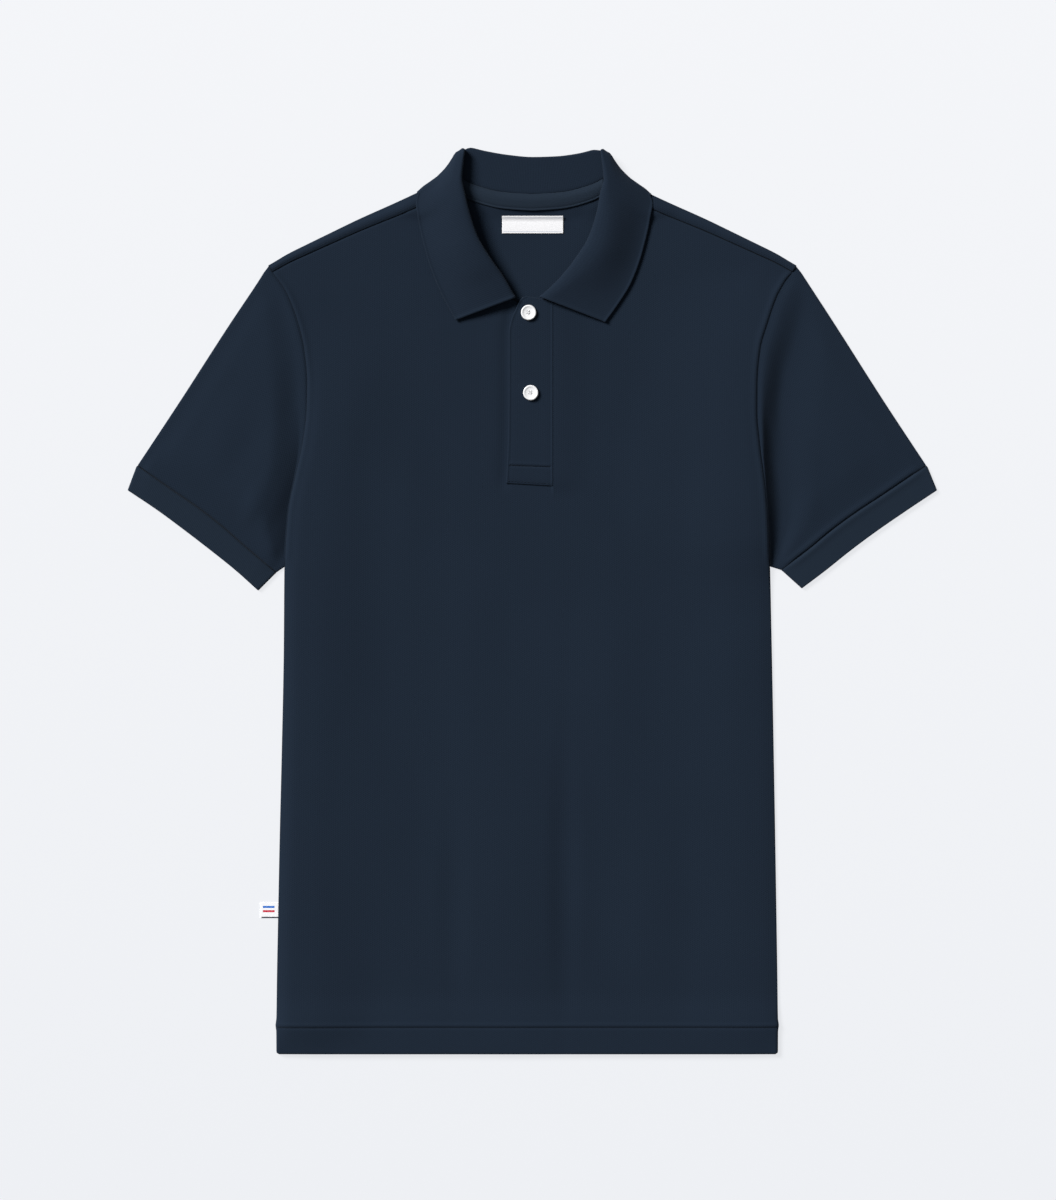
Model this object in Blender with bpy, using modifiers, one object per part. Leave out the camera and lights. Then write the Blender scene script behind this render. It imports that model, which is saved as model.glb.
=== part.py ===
"""A short-sleeved knitted polo shirt, buttoned and laid face up.

Metres, +Z up. X runs across the shirt, +Y towards the collar, and Z = 0 is the surface that
the back panel lies on. The origin is the middle of the shirt's outline on that surface.
The tables are in millimetres: x from the middle line, and height from the hem up the shirt.
Each cloth piece is a sheet through its middle surface, which Solidify gives its thickness.
"""
import math

import bmesh
import bpy
from mathutils import Vector

MM = 0.001
UP = Vector((0.0, 0.0, 1.0))

# Driving dimensions, millimetres
LENGTH = 768.3            # top of the collar fold to the hem
CLOTH = 1.0               # pique panel
RIB = 1.4                 # collar and cuff knit
SEAM_GAP = 0.3            # between pieces that meet
HEM_DEPTH = 22.5          # turned up inside and stitched
TURN = 0.5 * (CLOTH + SEAM_GAP)     # middle radius of a flat fold of panel cloth
LAYER = CLOTH + SEAM_GAP            # one panel lying on another
UNDERARM = 414.0          # height of the underarm point
SHOULDER_SEAM_END = 663.5           # where the shoulder seam meets the armhole
SHOULDER_TIP = (224.3, 669.4)       # x and height of the fold at the shoulder
NECK_TIP = (68.2, 745.5)            # x and height of the shoulder fold at the neck
SEAM_AT_NECK = (70.7, 731.0)        # x and height of the shoulder seam at the neck
BACK_NECK = 727.6         # height of the neck seam at the middle of the back
FRONT_NECK = 637.5        # height of the neck seam at the placket
SLOT_LEFT = -15.5         # front panel's slot under the placket, at the neck
SLOT_RIGHT = 13.0
SLOT_ROW = 518.0          # side height of the row that ends the slot
FALL_EDGE = 720.4         # back fall's lower edge, height at the middle
CLIMB_RISE = 0.0002       # how the climb onto the fall rises to the sides, per square mm
CLIMB_LENGTH = 4.0        # length over which the back panel climbs onto the fall
CLIMB_CLEAR = 4.0         # and how far before the fall's edge it is up
CLIMB_LEAD = 5.0          # and how much sooner what lies on it climbs
CLIMB_OUTER = 126.0       # x where the shoulder is down again beside the collar
CLIMB_FADE = 23.0         # length over which it comes down there
HEM_SLOPE = 30.0          # length over which the front comes down from the hem
SIDE_LOOSE = 30.0         # how far from its edges the front lies loosely on the back
FRONT_LOOSE = 0.9         # and how high
ARMHOLE_LOOSE = 0.5       # lift of the front at the armhole seams
ARMHOLE_GAP = 1.8 * SEAM_GAP        # between the panels' straight edges and a curved sleeve's
STAND_GAP = 3.0 * SEAM_GAP          # between the neck seam and the stand's tilted edge

# The body's outline: height, left edge and right edge
OUTLINE = (
    (0.0, -216.9, 208.1),
    (22.5, -216.9, 208.1),
    (55.0, -216.6, 207.8),
    (110.0, -215.6, 207.0),
    (180.0, -214.2, 205.9),
    (260.0, -212.3, 204.5),
    (340.0, -210.7, 203.0),
    (UNDERARM, -210.1, 201.3),
    (460.0, -207.2, 199.3),
    (490.0, -201.3, 196.5),
    (SLOT_ROW, -195.2, 192.8),
    (545.0, -191.8, 190.5),
    (570.0, -191.2, 190.7),
    (598.0, -193.8, 193.3),
    (620.0, -199.1, 199.8),
    (642.0, -207.6, 207.7),
    (650.0, -211.8, 211.9),
    (656.0, -216.0, 215.3),
    (660.0, -218.6, 218.4),
    (SHOULDER_SEAM_END, -220.9, 220.9),
    (SHOULDER_TIP[1], -SHOULDER_TIP[0], SHOULDER_TIP[0]),
)

# The panels' columns along a shoulder, as fractions from its tip to the neck
SHOULDER_PLACES = (0.0, 0.34, 0.63, 0.78, 0.9, 1.0)

# The front neck seam from the shoulder seam to the placket: x from the middle, and height
FRONT_NECKLINE = (
    SEAM_AT_NECK,
    (70.8, 722.0),
    (70.3, 713.6),
    (63.9, 686.4),
    (51.2, 665.0),
    (34.2, 649.2),
)

# The back neck seam from the shoulder fold to the middle
BACK_NECKLINE = (
    (49.5, 735.6),
    (25.0, 729.4),
    (0.0, BACK_NECK),
)

# Soft folds of the front: x and height of the middle, half width, half length and rise
FRONT_FOLDS = (
    (-58.0, 130.0, 34.0, 130.0, 1.1),
    (19.0, 160.0, 22.0, 170.0, -0.7),
    (95.0, 120.0, 40.0, 110.0, 0.7),
    (-130.0, 200.0, 45.0, 140.0, 0.6),
    (-110.0, 480.0, 40.0, 110.0, 0.8),
    (105.0, 490.0, 38.0, 100.0, 0.9),
    (60.0, 330.0, 40.0, 120.0, 0.6),
    (-40.0, 330.0, 38.0, 110.0, 0.5),
)

CUFF_STEP = 0.6           # the cuff stands out from the sleeve at the upper fold
CUFF_GAP = 0.7 * SEAM_GAP           # from the cuff seam to the cuff, and to the sleeve
CUFF_LOOSE = 0.5          # how high the cuff's upper layer bows
SLEEVE_LOOSE = 0.35       # and the sleeve's
SLEEVE_RISE = 0.9         # rise of the sleeve's upper layer onto the thicker cuff
SLEEVE_RISE_START = 0.82  # from this part of the way to the cuff
EDGE_SHARE = 0.25         # part of a tube's width over which it bows up from each fold
SLEEVE_STATIONS = (0.0, 0.08, 0.2, 0.36, 0.54, 0.72, 0.87, 1.0)
CUFF_STATIONS = (0.0, 0.35, 0.7, 1.0)

# Sleeves, left and right: the upper fold from the shoulder tip to the cuff seam, the cuff seam
# and the cuff's edge, both from the upper fold to the underarm, as x and height
SLEEVES = {
    "left": {
        "side": -1,
        "upper": ((-224.3, 669.4), (-231.0, 658.5), (-257.7, 618.4), (-298.3, 555.5),
                  (-335.2, 499.6)),
        "seam": ((-335.2, 499.6), (-303.6, 477.3), (-282.4, 462.8), (-262.8, 447.5),
                 (-243.3, 430.5), (-217.4, 408.6)),
        "edge": ((-343.6, 478.6), (-318.1, 462.0), (-295.1, 445.0), (-273.0, 428.0),
                 (-251.8, 411.0), (-232.4, 393.6)),
    },
    "right": {
        "side": 1,
        "upper": ((224.3, 669.4), (231.4, 658.5), (257.5, 618.4), (297.6, 555.5),
                  (334.4, 499.6)),
        "seam": ((334.4, 499.6), (295.6, 473.3), (274.8, 459.6), (254.8, 445.0),
                 (234.0, 427.9), (211.3, 410.9)),
        "edge": ((343.6, 478.6), (316.9, 462.0), (292.2, 445.0), (269.3, 428.0),
                 (248.0, 411.0), (228.1, 396.0)),
    },
}

# Soft folds of the sleeves: place along (0 armhole, 1 cuff) and across (0 upper fold,
# 1 underarm), half lengths along and across, and rise
SLEEVE_FOLDS = (
    (0.42, 0.50, 0.40, 0.42, 1.7),
    (0.03, 0.72, 0.15, 0.30, -0.6),
    (0.75, 0.35, 0.30, 0.25, 0.5),
)

# The collar's sections over the front panel, from the front end up: the neck seam, the top
# fold with its height over the surface, and the free edge, as x from the middle and height
COLLAR_FRONT = {
    "left": (
        # seam x, seam h, fold x, fold h, fold z, edge x, edge h
        (21.0, 640.9, 14.6, 641.4, 6.6, 64.8, 622.6),
        (34.2, 649.2, 24.6, 659.0, 8.2, 74.1, 639.2),
        (51.2, 665.0, 35.6, 674.3, 10.6, 81.5, 655.0),
        (63.9, 686.4, 47.2, 694.0, 12.4, 89.3, 676.6),
        (70.3, 713.6, 54.8, 719.0, 12.8, 96.0, 703.6),
        (70.8, 722.0, 56.6, 730.5, 12.5, 97.5, 712.4),
        (70.7, 731.0, 58.4, 743.0, 12.0, 98.8, 721.5),
    ),
    "right": (
        (17.5, 640.0, 6.6, 642.2, 7.8, 61.9, 621.0),
        (34.2, 649.2, 21.5, 656.0, 9.0, 74.3, 638.4),
        (51.2, 665.0, 36.6, 674.3, 10.8, 83.4, 653.4),
        (63.9, 686.4, 48.6, 694.0, 12.4, 91.8, 675.0),
        (70.3, 713.6, 56.2, 719.0, 12.8, 99.1, 703.6),
        (70.8, 722.0, 58.0, 730.5, 12.5, 100.6, 712.4),
        (70.7, 731.0, 59.8, 743.0, 12.0, 101.8, 721.5),
    ),
}
# Where the collar turns from the front to the back: its outline at the side
COLLAR_TURN = {
    "left": (NECK_TIP[0], NECK_TIP[1], 59.4, 767.3, 10.0, 99.5, 732.2),
    "right": (NECK_TIP[0], NECK_TIP[1], 60.6, 767.3, 10.0, 102.4, 730.4),
}
COLLAR_TURN_ANGLES = (90.0, 45.0, 0.0, -45.0, -90.0)
# The sections under the back panel, from the side to the middle
COLLAR_BACK = (
    (49.5, 735.6, 40.4, 765.6, 1.9, 74.0, 726.4),
    (25.0, 729.4, 20.5, 762.6, 1.9, 36.0, 721.8),
    (0.0, BACK_NECK, 0.0, 761.2, 1.9, 0.0, FALL_EDGE),
)
FOLD_UNDER_Z = 1.9        # the top fold's middle where the fall lies under the stand
STAND_UNDER_Z = 1.5 * RIB + SEAM_GAP    # the stand's middle where it lies on the fall
BACK_ROLL = 0.5 * (RIB + SEAM_GAP)      # middle radius of the top fold at the back
FRONT_ROLL = 1.5                        # and at the front
TURN_INSET = 0.7                        # how round the half turn at the side is in plan
LEAF_CROWN = 1.2          # how far a leaf bows up between its fold and its edge
LEAF_REST = 0.5           # clearance under a leaf's edge, which lies loosely

# Placket from the box end to the rounded top: left edge, height there, and how much lower
# the row runs at the right edge
PLACKET_RIGHT = 17.7
PLACKET_ROWS = (
    (-22.2, 484.4, 2.4),
    (-20.4, 530.0, 0.0),
    (-20.1, 580.0, 0.0),
    (-20.1, 612.0, 0.0),
    (-17.8, 623.8, 0.0),
    (-14.0, 632.5, 0.6),
    (-11.8, 637.8, 1.6),
    (-9.2, 641.2, 3.2),
    (-4.6, 643.2, 4.6),
)
PLACKET_WALL = 2.0        # two layers of pique with their interfacing
PLACKET_LIFT = 0.25       # the top placket lies loosely on the panel
UNDER_PLACKET_TOP = 642.6

PLACKET_ACROSS = (0.0, 0.3, 0.65, 1.0)   # its columns

# Trims
BUTTON_PROFILE = (
    # radius, height: the face's dish, the rim, the side and the back
    (0.0, 1.5),
    (4.0, 1.5),
    (5.2, 2.6),
    (6.0, 2.5),
    (6.5, 1.8),
    (6.2, 0.5),
    (4.9, 0.0),
    (0.0, 0.0),
)
BUTTON_STEPS = 24
BUTTON_HOLE = 0.51        # radius of its four holes
BUTTON_HOLE_PITCH = 1.6
BUTTONS = (
    # name, x, height
    ("button_upper", -3.2, 629.2),
    ("button_lower", -1.4, 561.2),
)
TAPE_END = 60.0
TAPE_ROWS = (
    # distance below the neck seam, and lift off the panel over the seam's allowance
    (-0.6, 0.75),
    (3.4, 0.8),
    (7.6, 0.6),
    (11.6, 0.15),
)
TAPE_STEPS = 12
LABEL = (-25.7, 26.2, 696.6, 711.4)      # left, right, bottom and top of the neck label
TAG = (-231.4, 115.4, 128.8)             # left, bottom and top of the side tag
TAG_GAP = 0.5             # between the tag and the body's edge
TAG_RISE = 0.6            # how far the tag rises to the side seam
TRIM_WALL = 1.0

PIQUE = ("pique", (0.0145, 0.0225, 0.0370), 0.85)
KNIT = ("rib_knit", (0.0150, 0.0230, 0.0385), 0.85)
TAPE = ("neck_tape", (0.0160, 0.0250, 0.0410), 0.80)
BUTTON = ("button", (0.86, 0.86, 0.87), 0.25)
WOVEN = ("woven_label", (0.84, 0.84, 0.86), 0.60)


# ---------------------------------------------------------------- curves and heights

def smooth_value(keys, values, at):
    """A smooth curve through a table of values that never overshoots them."""
    if at <= keys[0]:
        return values[0]
    if at >= keys[-1]:
        return values[-1]
    row = max(i for i in range(len(keys) - 1) if keys[i] <= at)

    def rate(i):
        return (values[i + 1] - values[i]) / (keys[i + 1] - keys[i])

    def slope(i):
        if i == 0 or i == len(keys) - 1:
            return rate(min(i, len(keys) - 2))
        before = rate(i - 1)
        after = rate(i)
        if before * after <= 0.0:
            return 0.0
        return 2.0 * before * after / (before + after)

    span = keys[row + 1] - keys[row]
    step = (at - keys[row]) / span
    return (values[row] * (1 + 2 * step) * (1 - step) ** 2
            + slope(row) * span * step * (1 - step) ** 2
            + values[row + 1] * step ** 2 * (3 - 2 * step)
            - slope(row + 1) * span * step ** 2 * (1 - step))


def smooth_point(points, at):
    """A point of the smooth curve through a list, at a fraction of its length."""
    lengths = [0.0]
    for first, second in zip(points, points[1:]):
        lengths.append(lengths[-1] + math.dist(first, second))
    keys = [length / lengths[-1] for length in lengths]
    return [smooth_value(keys, [point[axis] for point in points], at)
            for axis in range(len(points[0]))]


def ease(value):
    """0 below 0, 1 above 1, and a soft S between."""
    value = min(max(value, 0.0), 1.0)
    return value * value * (3.0 - 2.0 * value)


def outline_x(height, side):
    """The body's left (-1) or right (1) edge at a height."""
    column = 1 if side < 0 else 2
    return smooth_value([row[0] for row in OUTLINE], [row[column] for row in OUTLINE], height)


def back_z(x, height):
    """Middle of the back panel: on the surface, and over the collar's back fall at the neck."""
    top = FALL_EDGE + CLIMB_RISE * x * x - CLIMB_CLEAR
    climb = ease((height - top + CLIMB_LENGTH) / CLIMB_LENGTH)
    climb *= ease((CLIMB_OUTER - abs(x)) / CLIMB_FADE)
    return 0.5 * CLOTH + climb * (RIB + SEAM_GAP)


def over_back_z(x, height):
    """Level of what lies on the back panel, which bridges the foot of its climb."""
    return back_z(x, height + CLIMB_LEAD)


def fold_rise(folds, first, second):
    """Height that a table of soft folds adds at a place."""
    rise = 0.0
    for middle_1, middle_2, half_1, half_2, height in folds:
        distance = math.hypot((first - middle_1) / half_1, (second - middle_2) / half_2)
        if distance < 1.0:
            rise += height * math.cos(0.5 * math.pi * distance) ** 2
    return rise


def front_z(x, height):
    """Middle of the front panel, lying on the back one with its soft folds."""
    edge = min(x - outline_x(height, -1), outline_x(height, 1) - x)
    loose = ease(edge / SIDE_LOOSE)
    lift = FRONT_LOOSE * loose * ease((SEAM_AT_NECK[1] - height) / (2.0 * SIDE_LOOSE))
    armhole = ARMHOLE_LOOSE * (1.0 - loose) * ease((height - UNDERARM) / SIDE_LOOSE)
    armhole *= ease((SHOULDER_SEAM_END - height) / SIDE_LOOSE)
    hem = 2.0 * LAYER * ease((HEM_DEPTH + HEM_SLOPE - height) / HEM_SLOPE)
    folds = loose * fold_rise(FRONT_FOLDS, x, height)
    return over_back_z(x, height) + LAYER + lift + armhole + hem + folds


def place(x, height, z):
    """A point of the shirt, still in millimetres, in the part's own frame."""
    return Vector((x, height - 0.5 * LENGTH, z))


# ---------------------------------------------------------------- building

def clear_scene():
    for item in list(bpy.data.objects):
        bpy.data.objects.remove(item, do_unlink=True)


def make_collection(name):
    collection = bpy.data.collections.new(name)
    bpy.context.scene.collection.children.link(collection)
    return collection


def make_material(name, color, roughness):
    material = bpy.data.materials.new(name)
    material.use_nodes = True
    shader = material.node_tree.nodes["Principled BSDF"]
    shader.inputs["Base Color"].default_value = (*color, 1.0)
    shader.inputs["Roughness"].default_value = roughness
    return material


def add_object(name, mesh, finish, collection):
    mesh.materials.append(make_material(name + "_" + finish[0], finish[1], finish[2]))
    item = bpy.data.objects.new(name, mesh)
    collection.objects.link(item)
    return item


def add_wall(name, grid, wall, finish, collection, skip=(), ring=False):
    """A sheet of quads through rows of points, thickened evenly to both sides."""
    work = bmesh.new()
    corners = [[work.verts.new(point * MM) for point in row] for row in grid]
    columns = len(grid[0])
    for row in range(len(grid) - 1):
        for column in range(columns if ring else columns - 1):
            if (row, column) in skip:
                continue
            beside = (column + 1) % columns
            work.faces.new((corners[row][column], corners[row][beside],
                            corners[row + 1][beside], corners[row + 1][column]))
    loose = [corner for corner in work.verts if not corner.link_faces]
    bmesh.ops.delete(work, geom=loose, context="VERTS")
    mesh = bpy.data.meshes.new(name)
    work.to_mesh(mesh)
    work.free()
    mesh.shade_smooth()
    item = add_object(name, mesh, finish, collection)
    solid = item.modifiers.new("wall", "SOLIDIFY")
    solid.thickness = wall * MM
    solid.offset = 0.0
    solid.use_quality_normals = True
    return item


# ---------------------------------------------------------------- body

def panel_grid(top, heights, z_at):
    """Rows of a body panel between its outline, the hem and the top line given by points."""
    last = len(top) - 1
    grid = []
    for height in heights:
        up = height / heights[-1]
        row = []
        for column, (top_x, top_height) in enumerate(top):
            across = column / last
            hem_x = OUTLINE[0][1] + across * (OUTLINE[0][2] - OUTLINE[0][1])
            x = hem_x + up * (top_x - hem_x)
            side, edge_hem, edge_top = (-1, OUTLINE[0][1], top[0][0])
            if top_x > 0.0:
                side, edge_hem, edge_top = (1, OUTLINE[0][2], top[-1][0])
            straight = edge_hem + up * (edge_top - edge_hem)
            share = (abs(top_x) - SEAM_AT_NECK[0]) / (abs(edge_top) - SEAM_AT_NECK[0])
            x += max(share, 0.0) * (outline_x(height, side) - straight)
            place_height = up * top_height
            row.append(place(x, place_height, z_at(x, place_height)))
        grid.append(row)
    return grid


def turn_up_rows(hem_row, step):
    """The hem's turn-up, which lies inside by one layer (step is 1 up or -1 down)."""
    free_edge = []
    inner = []
    fold = []
    outer = []
    for point in hem_row:
        z = point.z
        level = step * LAYER
        free_edge.append(Vector((point.x, point.y + HEM_DEPTH, z + level)))
        inner.append(Vector((point.x, point.y + 0.5 * CLOTH + TURN, z + level)))
        fold.append(Vector((point.x, point.y + 0.5 * CLOTH, z + 0.5 * level)))
        outer.append(Vector((point.x, point.y + 0.5 * CLOTH + TURN, z)))
    return [free_edge, inner, fold, outer]


def front_top_line():
    """The front panel's top line: shoulder seam, neckline to the slot, and back up."""
    shoulder_x = OUTLINE[-2][2]
    shoulder = []
    for along in SHOULDER_PLACES[:-1]:
        shoulder.append((shoulder_x + along * (SEAM_AT_NECK[0] - shoulder_x),
                         SHOULDER_SEAM_END + along * (SEAM_AT_NECK[1] - SHOULDER_SEAM_END)))
    half = shoulder + list(FRONT_NECKLINE)
    left = [(-x, height) for x, height in half]
    middle = 0.5 * (SLOT_LEFT + SLOT_RIGHT)
    slot = [(SLOT_LEFT, FRONT_NECK), (middle, FRONT_NECK), (SLOT_RIGHT, FRONT_NECK)]
    return left + slot + half[::-1]


def seam_inset(line):
    """Moves the shoulder seam's points down by the seam gap."""
    moved = []
    for x, height in line:
        on_shoulder = height > SHOULDER_SEAM_END - 1.0 and abs(x) >= SEAM_AT_NECK[0]
        moved.append((x, height - SEAM_GAP if on_shoulder else height))
    return moved


def front_rows():
    top = seam_inset(front_top_line())
    heights = [row[0] for row in OUTLINE[:-2]] + [top[0][1]]
    return top, heights


def make_front(collection):
    top, heights = front_rows()
    grid = panel_grid(top, heights, front_z)
    slot_row = heights.index(SLOT_ROW)
    slot_column = [x for x, height in top].index(SLOT_LEFT)
    rows = turn_up_rows(grid[0], -1) + grid[1:]
    added = len(rows) - len(grid)
    skip = set()
    for row in range(slot_row + added, len(rows) - 1):
        skip.update({(row, slot_column), (row, slot_column + 1)})
    return add_wall("front_panel", rows, CLOTH, PIQUE, collection, skip)


def back_top_line():
    """The back panel's top line: shoulder fold, back neckline and the other shoulder."""
    shoulder = []
    for along in SHOULDER_PLACES:
        shoulder.append((SHOULDER_TIP[0] + along * (NECK_TIP[0] - SHOULDER_TIP[0]),
                         SHOULDER_TIP[1] + along * (NECK_TIP[1] - SHOULDER_TIP[1])))
    neck = list(BACK_NECKLINE)
    left = [(-x, height) for x, height in shoulder + neck]
    return left + (neck[:-1][::-1]) + shoulder[::-1]


def make_back(collection):
    """The back panel, whose shoulders turn over to the front and end at the shoulder seam."""
    top = back_top_line()
    steps = len(SHOULDER_PLACES) - 1
    seam_start = (OUTLINE[-2][2], SHOULDER_SEAM_END)
    last = len(top) - 1
    insets = (0.5 * CLOTH + TURN, 0.5 * CLOTH, 0.5 * CLOTH + TURN)
    lower = []
    fold = []
    upper = []
    seam = []
    for column, (x, height) in enumerate(top):
        from_tip = min(column, last - column)
        if from_tip > steps:
            lower.append((x, height))
            flat = place(x, height, back_z(x, height))
            for line in (fold, upper, seam):
                line.append(flat)
            continue
        along = SHOULDER_PLACES[from_tip]
        side = -1 if x < 0 else 1
        seam_x = side * (seam_start[0] + along * (SEAM_AT_NECK[0] - seam_start[0]))
        seam_height = seam_start[1] + along * (SEAM_AT_NECK[1] - seam_start[1])
        width = math.hypot(seam_x - x, seam_height - height)
        across = ((seam_x - x) / width, (seam_height - height) / width)
        spots = [(x + across[0] * inset, height + across[1] * inset) for inset in insets]
        lower.append(spots[0])
        top_z = front_z(*spots[2])
        fold.append(place(*spots[1], 0.5 * (back_z(*spots[1]) + top_z)))
        upper.append(place(*spots[2], top_z))
        seam.append(place(seam_x, seam_height, front_z(seam_x, seam_height)))
    heights = [row[0] for row in OUTLINE[:-1]] + [lower[0][1]]
    grid = panel_grid(lower, heights, back_z)
    rows = turn_up_rows(grid[0], 1) + grid[1:]
    first = len(rows) - 1
    rows += [fold, upper, seam]
    skip = {(row, column) for row in range(first, len(rows) - 1)
            for column in range(steps, last - steps)}
    return add_wall("back_panel", rows, CLOTH, PIQUE, collection, skip)


# ---------------------------------------------------------------- sleeves and cuffs

def armhole_curve(side):
    """The armhole from the shoulder tip to the underarm."""
    column = 1 if side < 0 else 2
    return [(row[column], row[0]) for row in reversed(OUTLINE) if row[0] >= UNDERARM]


def coons(first, last, upper, lower, along, across):
    """A point of the patch between four smooth edges."""
    one = smooth_point(first, across)
    two = smooth_point(last, across)
    three = smooth_point(upper, along)
    four = smooth_point(lower, along)
    spot = []
    for axis in (0, 1):
        edges = (1 - along) * one[axis] + along * two[axis]
        edges += (1 - across) * three[axis] + across * four[axis]
        corners = (1 - along) * ((1 - across) * first[0][axis] + across * first[-1][axis])
        corners += along * ((1 - across) * last[0][axis] + across * last[-1][axis])
        spot.append(edges - corners)
    return spot


def tube_rows(first, last, upper, lower, stations, places, wall, top_z):
    """Rings of a flat tube of cloth: over the top layer, and back along the lower one."""
    rows = []
    turn = 0.5 * (wall + SEAM_GAP)
    for along in stations:
        spots = [coons(first, last, upper, lower, along, across) for across in (0.0, 1.0)]
        width = math.dist(spots[0], spots[1])
        inset = 0.5 * wall / width
        tangent = (0.5 * wall + turn) / width
        inner = [tangent] + list(places) + [1.0 - tangent]
        over = []
        under = []
        for across in inner:
            x, height = coons(first, last, upper, lower, along, across)
            over.append(place(x, height, top_z(along, across)))
            under.append(place(x, height, 0.5 * wall))
        start = coons(first, last, upper, lower, along, inset)
        end = coons(first, last, upper, lower, along, 1.0 - inset)
        start_z = 0.5 * (over[0].z + 0.5 * wall)
        end_z = 0.5 * (over[-1].z + 0.5 * wall)
        rows.append([place(*start, start_z)] + over + [place(*end, end_z)] + under[::-1])
    return rows


def right_of(first, second):
    """The direction to the right of the way from one point to another."""
    length = math.dist(first, second)
    return (second[1] - first[1]) / length, (first[0] - second[0]) / length


def mitre(point, one, two, amount):
    """A corner moved so that it is the same distance from both of its lines."""
    reach = amount / (1.0 + one[0] * two[0] + one[1] * two[1])
    return point[0] + reach * (one[0] + two[0]), point[1] + reach * (one[1] + two[1])


def moved(curve, amount):
    """A line of points moved sideways, to the right of its direction if amount is positive."""
    ways = [right_of(first, second) for first, second in zip(curve, curve[1:])]
    before = [ways[0]] + ways
    after = ways + [ways[-1]]
    return [mitre(point, one, two, amount) for point, one, two in zip(curve, before, after)]


def curve_fractions(curve):
    lengths = [0.0]
    for first, second in zip(curve, curve[1:]):
        lengths.append(lengths[-1] + math.dist(first, second))
    return [length / lengths[-1] for length in lengths]


def sleeve_z(along, across):
    """Middle of a sleeve's upper layer."""
    loose = ease(min(across, 1.0 - across) / EDGE_SHARE)
    bow = loose * (SLEEVE_LOOSE + fold_rise(SLEEVE_FOLDS, along, across))
    toward_cuff = ease((along - SLEEVE_RISE_START) / (1.0 - SLEEVE_RISE_START))
    return 0.5 * CLOTH + LAYER + bow + SLEEVE_RISE * toward_cuff


def make_sleeve(name, shape, collection):
    side = shape["side"]
    armhole = armhole_curve(side)
    first = moved(armhole, -side * ARMHOLE_GAP)
    last = moved(shape["seam"], side * CUFF_GAP)
    upper = [first[0]] + list(shape["upper"][1:-1]) + [last[0]]
    lower = (first[-1], last[-1])
    places = curve_fractions(armhole)[1:-1]
    rows = tube_rows(first, last, upper, lower, SLEEVE_STATIONS, places, CLOTH, sleeve_z)
    return add_wall("sleeve_" + name, rows, CLOTH, PIQUE, collection, ring=True)


def cuff_z(along, across):
    """Middle of a cuff's upper layer."""
    loose = ease(min(across, 1.0 - across) / EDGE_SHARE)
    return 1.5 * RIB + SEAM_GAP + CUFF_LOOSE * loose * (1.0 - 0.5 * along)


def make_cuff(name, shape, collection):
    """The rib band, which stands out a little from the sleeve's upper fold."""
    side = shape["side"]
    first = moved(shape["seam"], -side * CUFF_GAP)
    first[0] = (first[0][0] + CUFF_STEP * side, first[0][1])
    last = list(shape["edge"])
    upper = (first[0], last[0])
    lower = (first[-1], last[-1])
    places = curve_fractions(armhole_curve(side))[1:-1]
    rows = tube_rows(first, last, upper, lower, CUFF_STATIONS, places, RIB, cuff_z)
    return add_wall("cuff_" + name, rows, RIB, KNIT, collection, ring=True)


# ---------------------------------------------------------------- collar

def leaf_edge_z(x, height):
    """Middle of the leaf's edge, which lies on the front panel and bridges its climb too."""
    level = max(front_z(x, height), front_z(x, height + CLIMB_LEAD))
    return level + 0.5 * CLOTH + LEAF_REST + 0.5 * RIB


def stand_edge(name):
    """The stand's lower edge beside the neck seam: over the front, at the tip, at the back."""
    front = [row[:2] for row in COLLAR_FRONT[name]] + [NECK_TIP]
    back = [NECK_TIP] + [row[:2] for row in COLLAR_BACK]
    back.append((-back[-2][0], back[-2][1]))
    ways = right_of(NECK_TIP, front[-2]), right_of(NECK_TIP, back[1])
    tip = mitre(NECK_TIP, *ways, STAND_GAP)
    return moved(front, -STAND_GAP)[:-1] + [tip] + moved(back, STAND_GAP)[1:-1]


def collar_section(base, fold, edge, normal, radius, crown):
    """Points of a section: up the stand, round the fold and down the fall."""
    back = (0.5 * (base + edge) - fold).normalized()
    normal = (normal - normal.dot(back) * back).normalized()
    stand_end = fold + radius * (back - normal)
    leaf_start = fold + radius * (back + normal)
    bend = radius * math.sqrt(0.5)
    points = [base, base.lerp(stand_end, 0.5), stand_end]
    points.append(fold + back * (radius - bend) - normal * bend)
    points.append(fold)
    points.append(fold + back * (radius - bend) + normal * bend)
    for step in (0.0, 0.25, 0.5, 0.75, 1.0):
        bow = crown * math.sin(math.pi * step)
        points.append(leaf_start.lerp(edge, step) + bow * UP)
    return points


def front_section(base, row, side):
    seam_x, seam_h, fold_x, fold_h, fold_z, edge_x, edge_h = row
    base = place(side * base[0], base[1], front_z(side * seam_x, seam_h))
    fold = place(side * fold_x, fold_h, fold_z)
    edge = place(side * edge_x, edge_h, leaf_edge_z(side * edge_x, edge_h))
    return collar_section(base, fold, edge, UP, FRONT_ROLL, LEAF_CROWN)


def back_section(base, row, side):
    fold_x, fold_h, fold_z, edge_x, edge_h = row[2:]
    base = place(side * base[0], base[1], STAND_UNDER_Z)
    fold = place(side * fold_x, fold_h, fold_z)
    edge = place(side * edge_x, edge_h, 0.5 * RIB)
    return collar_section(base, fold, edge, -UP, BACK_ROLL, 0.0)


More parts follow.
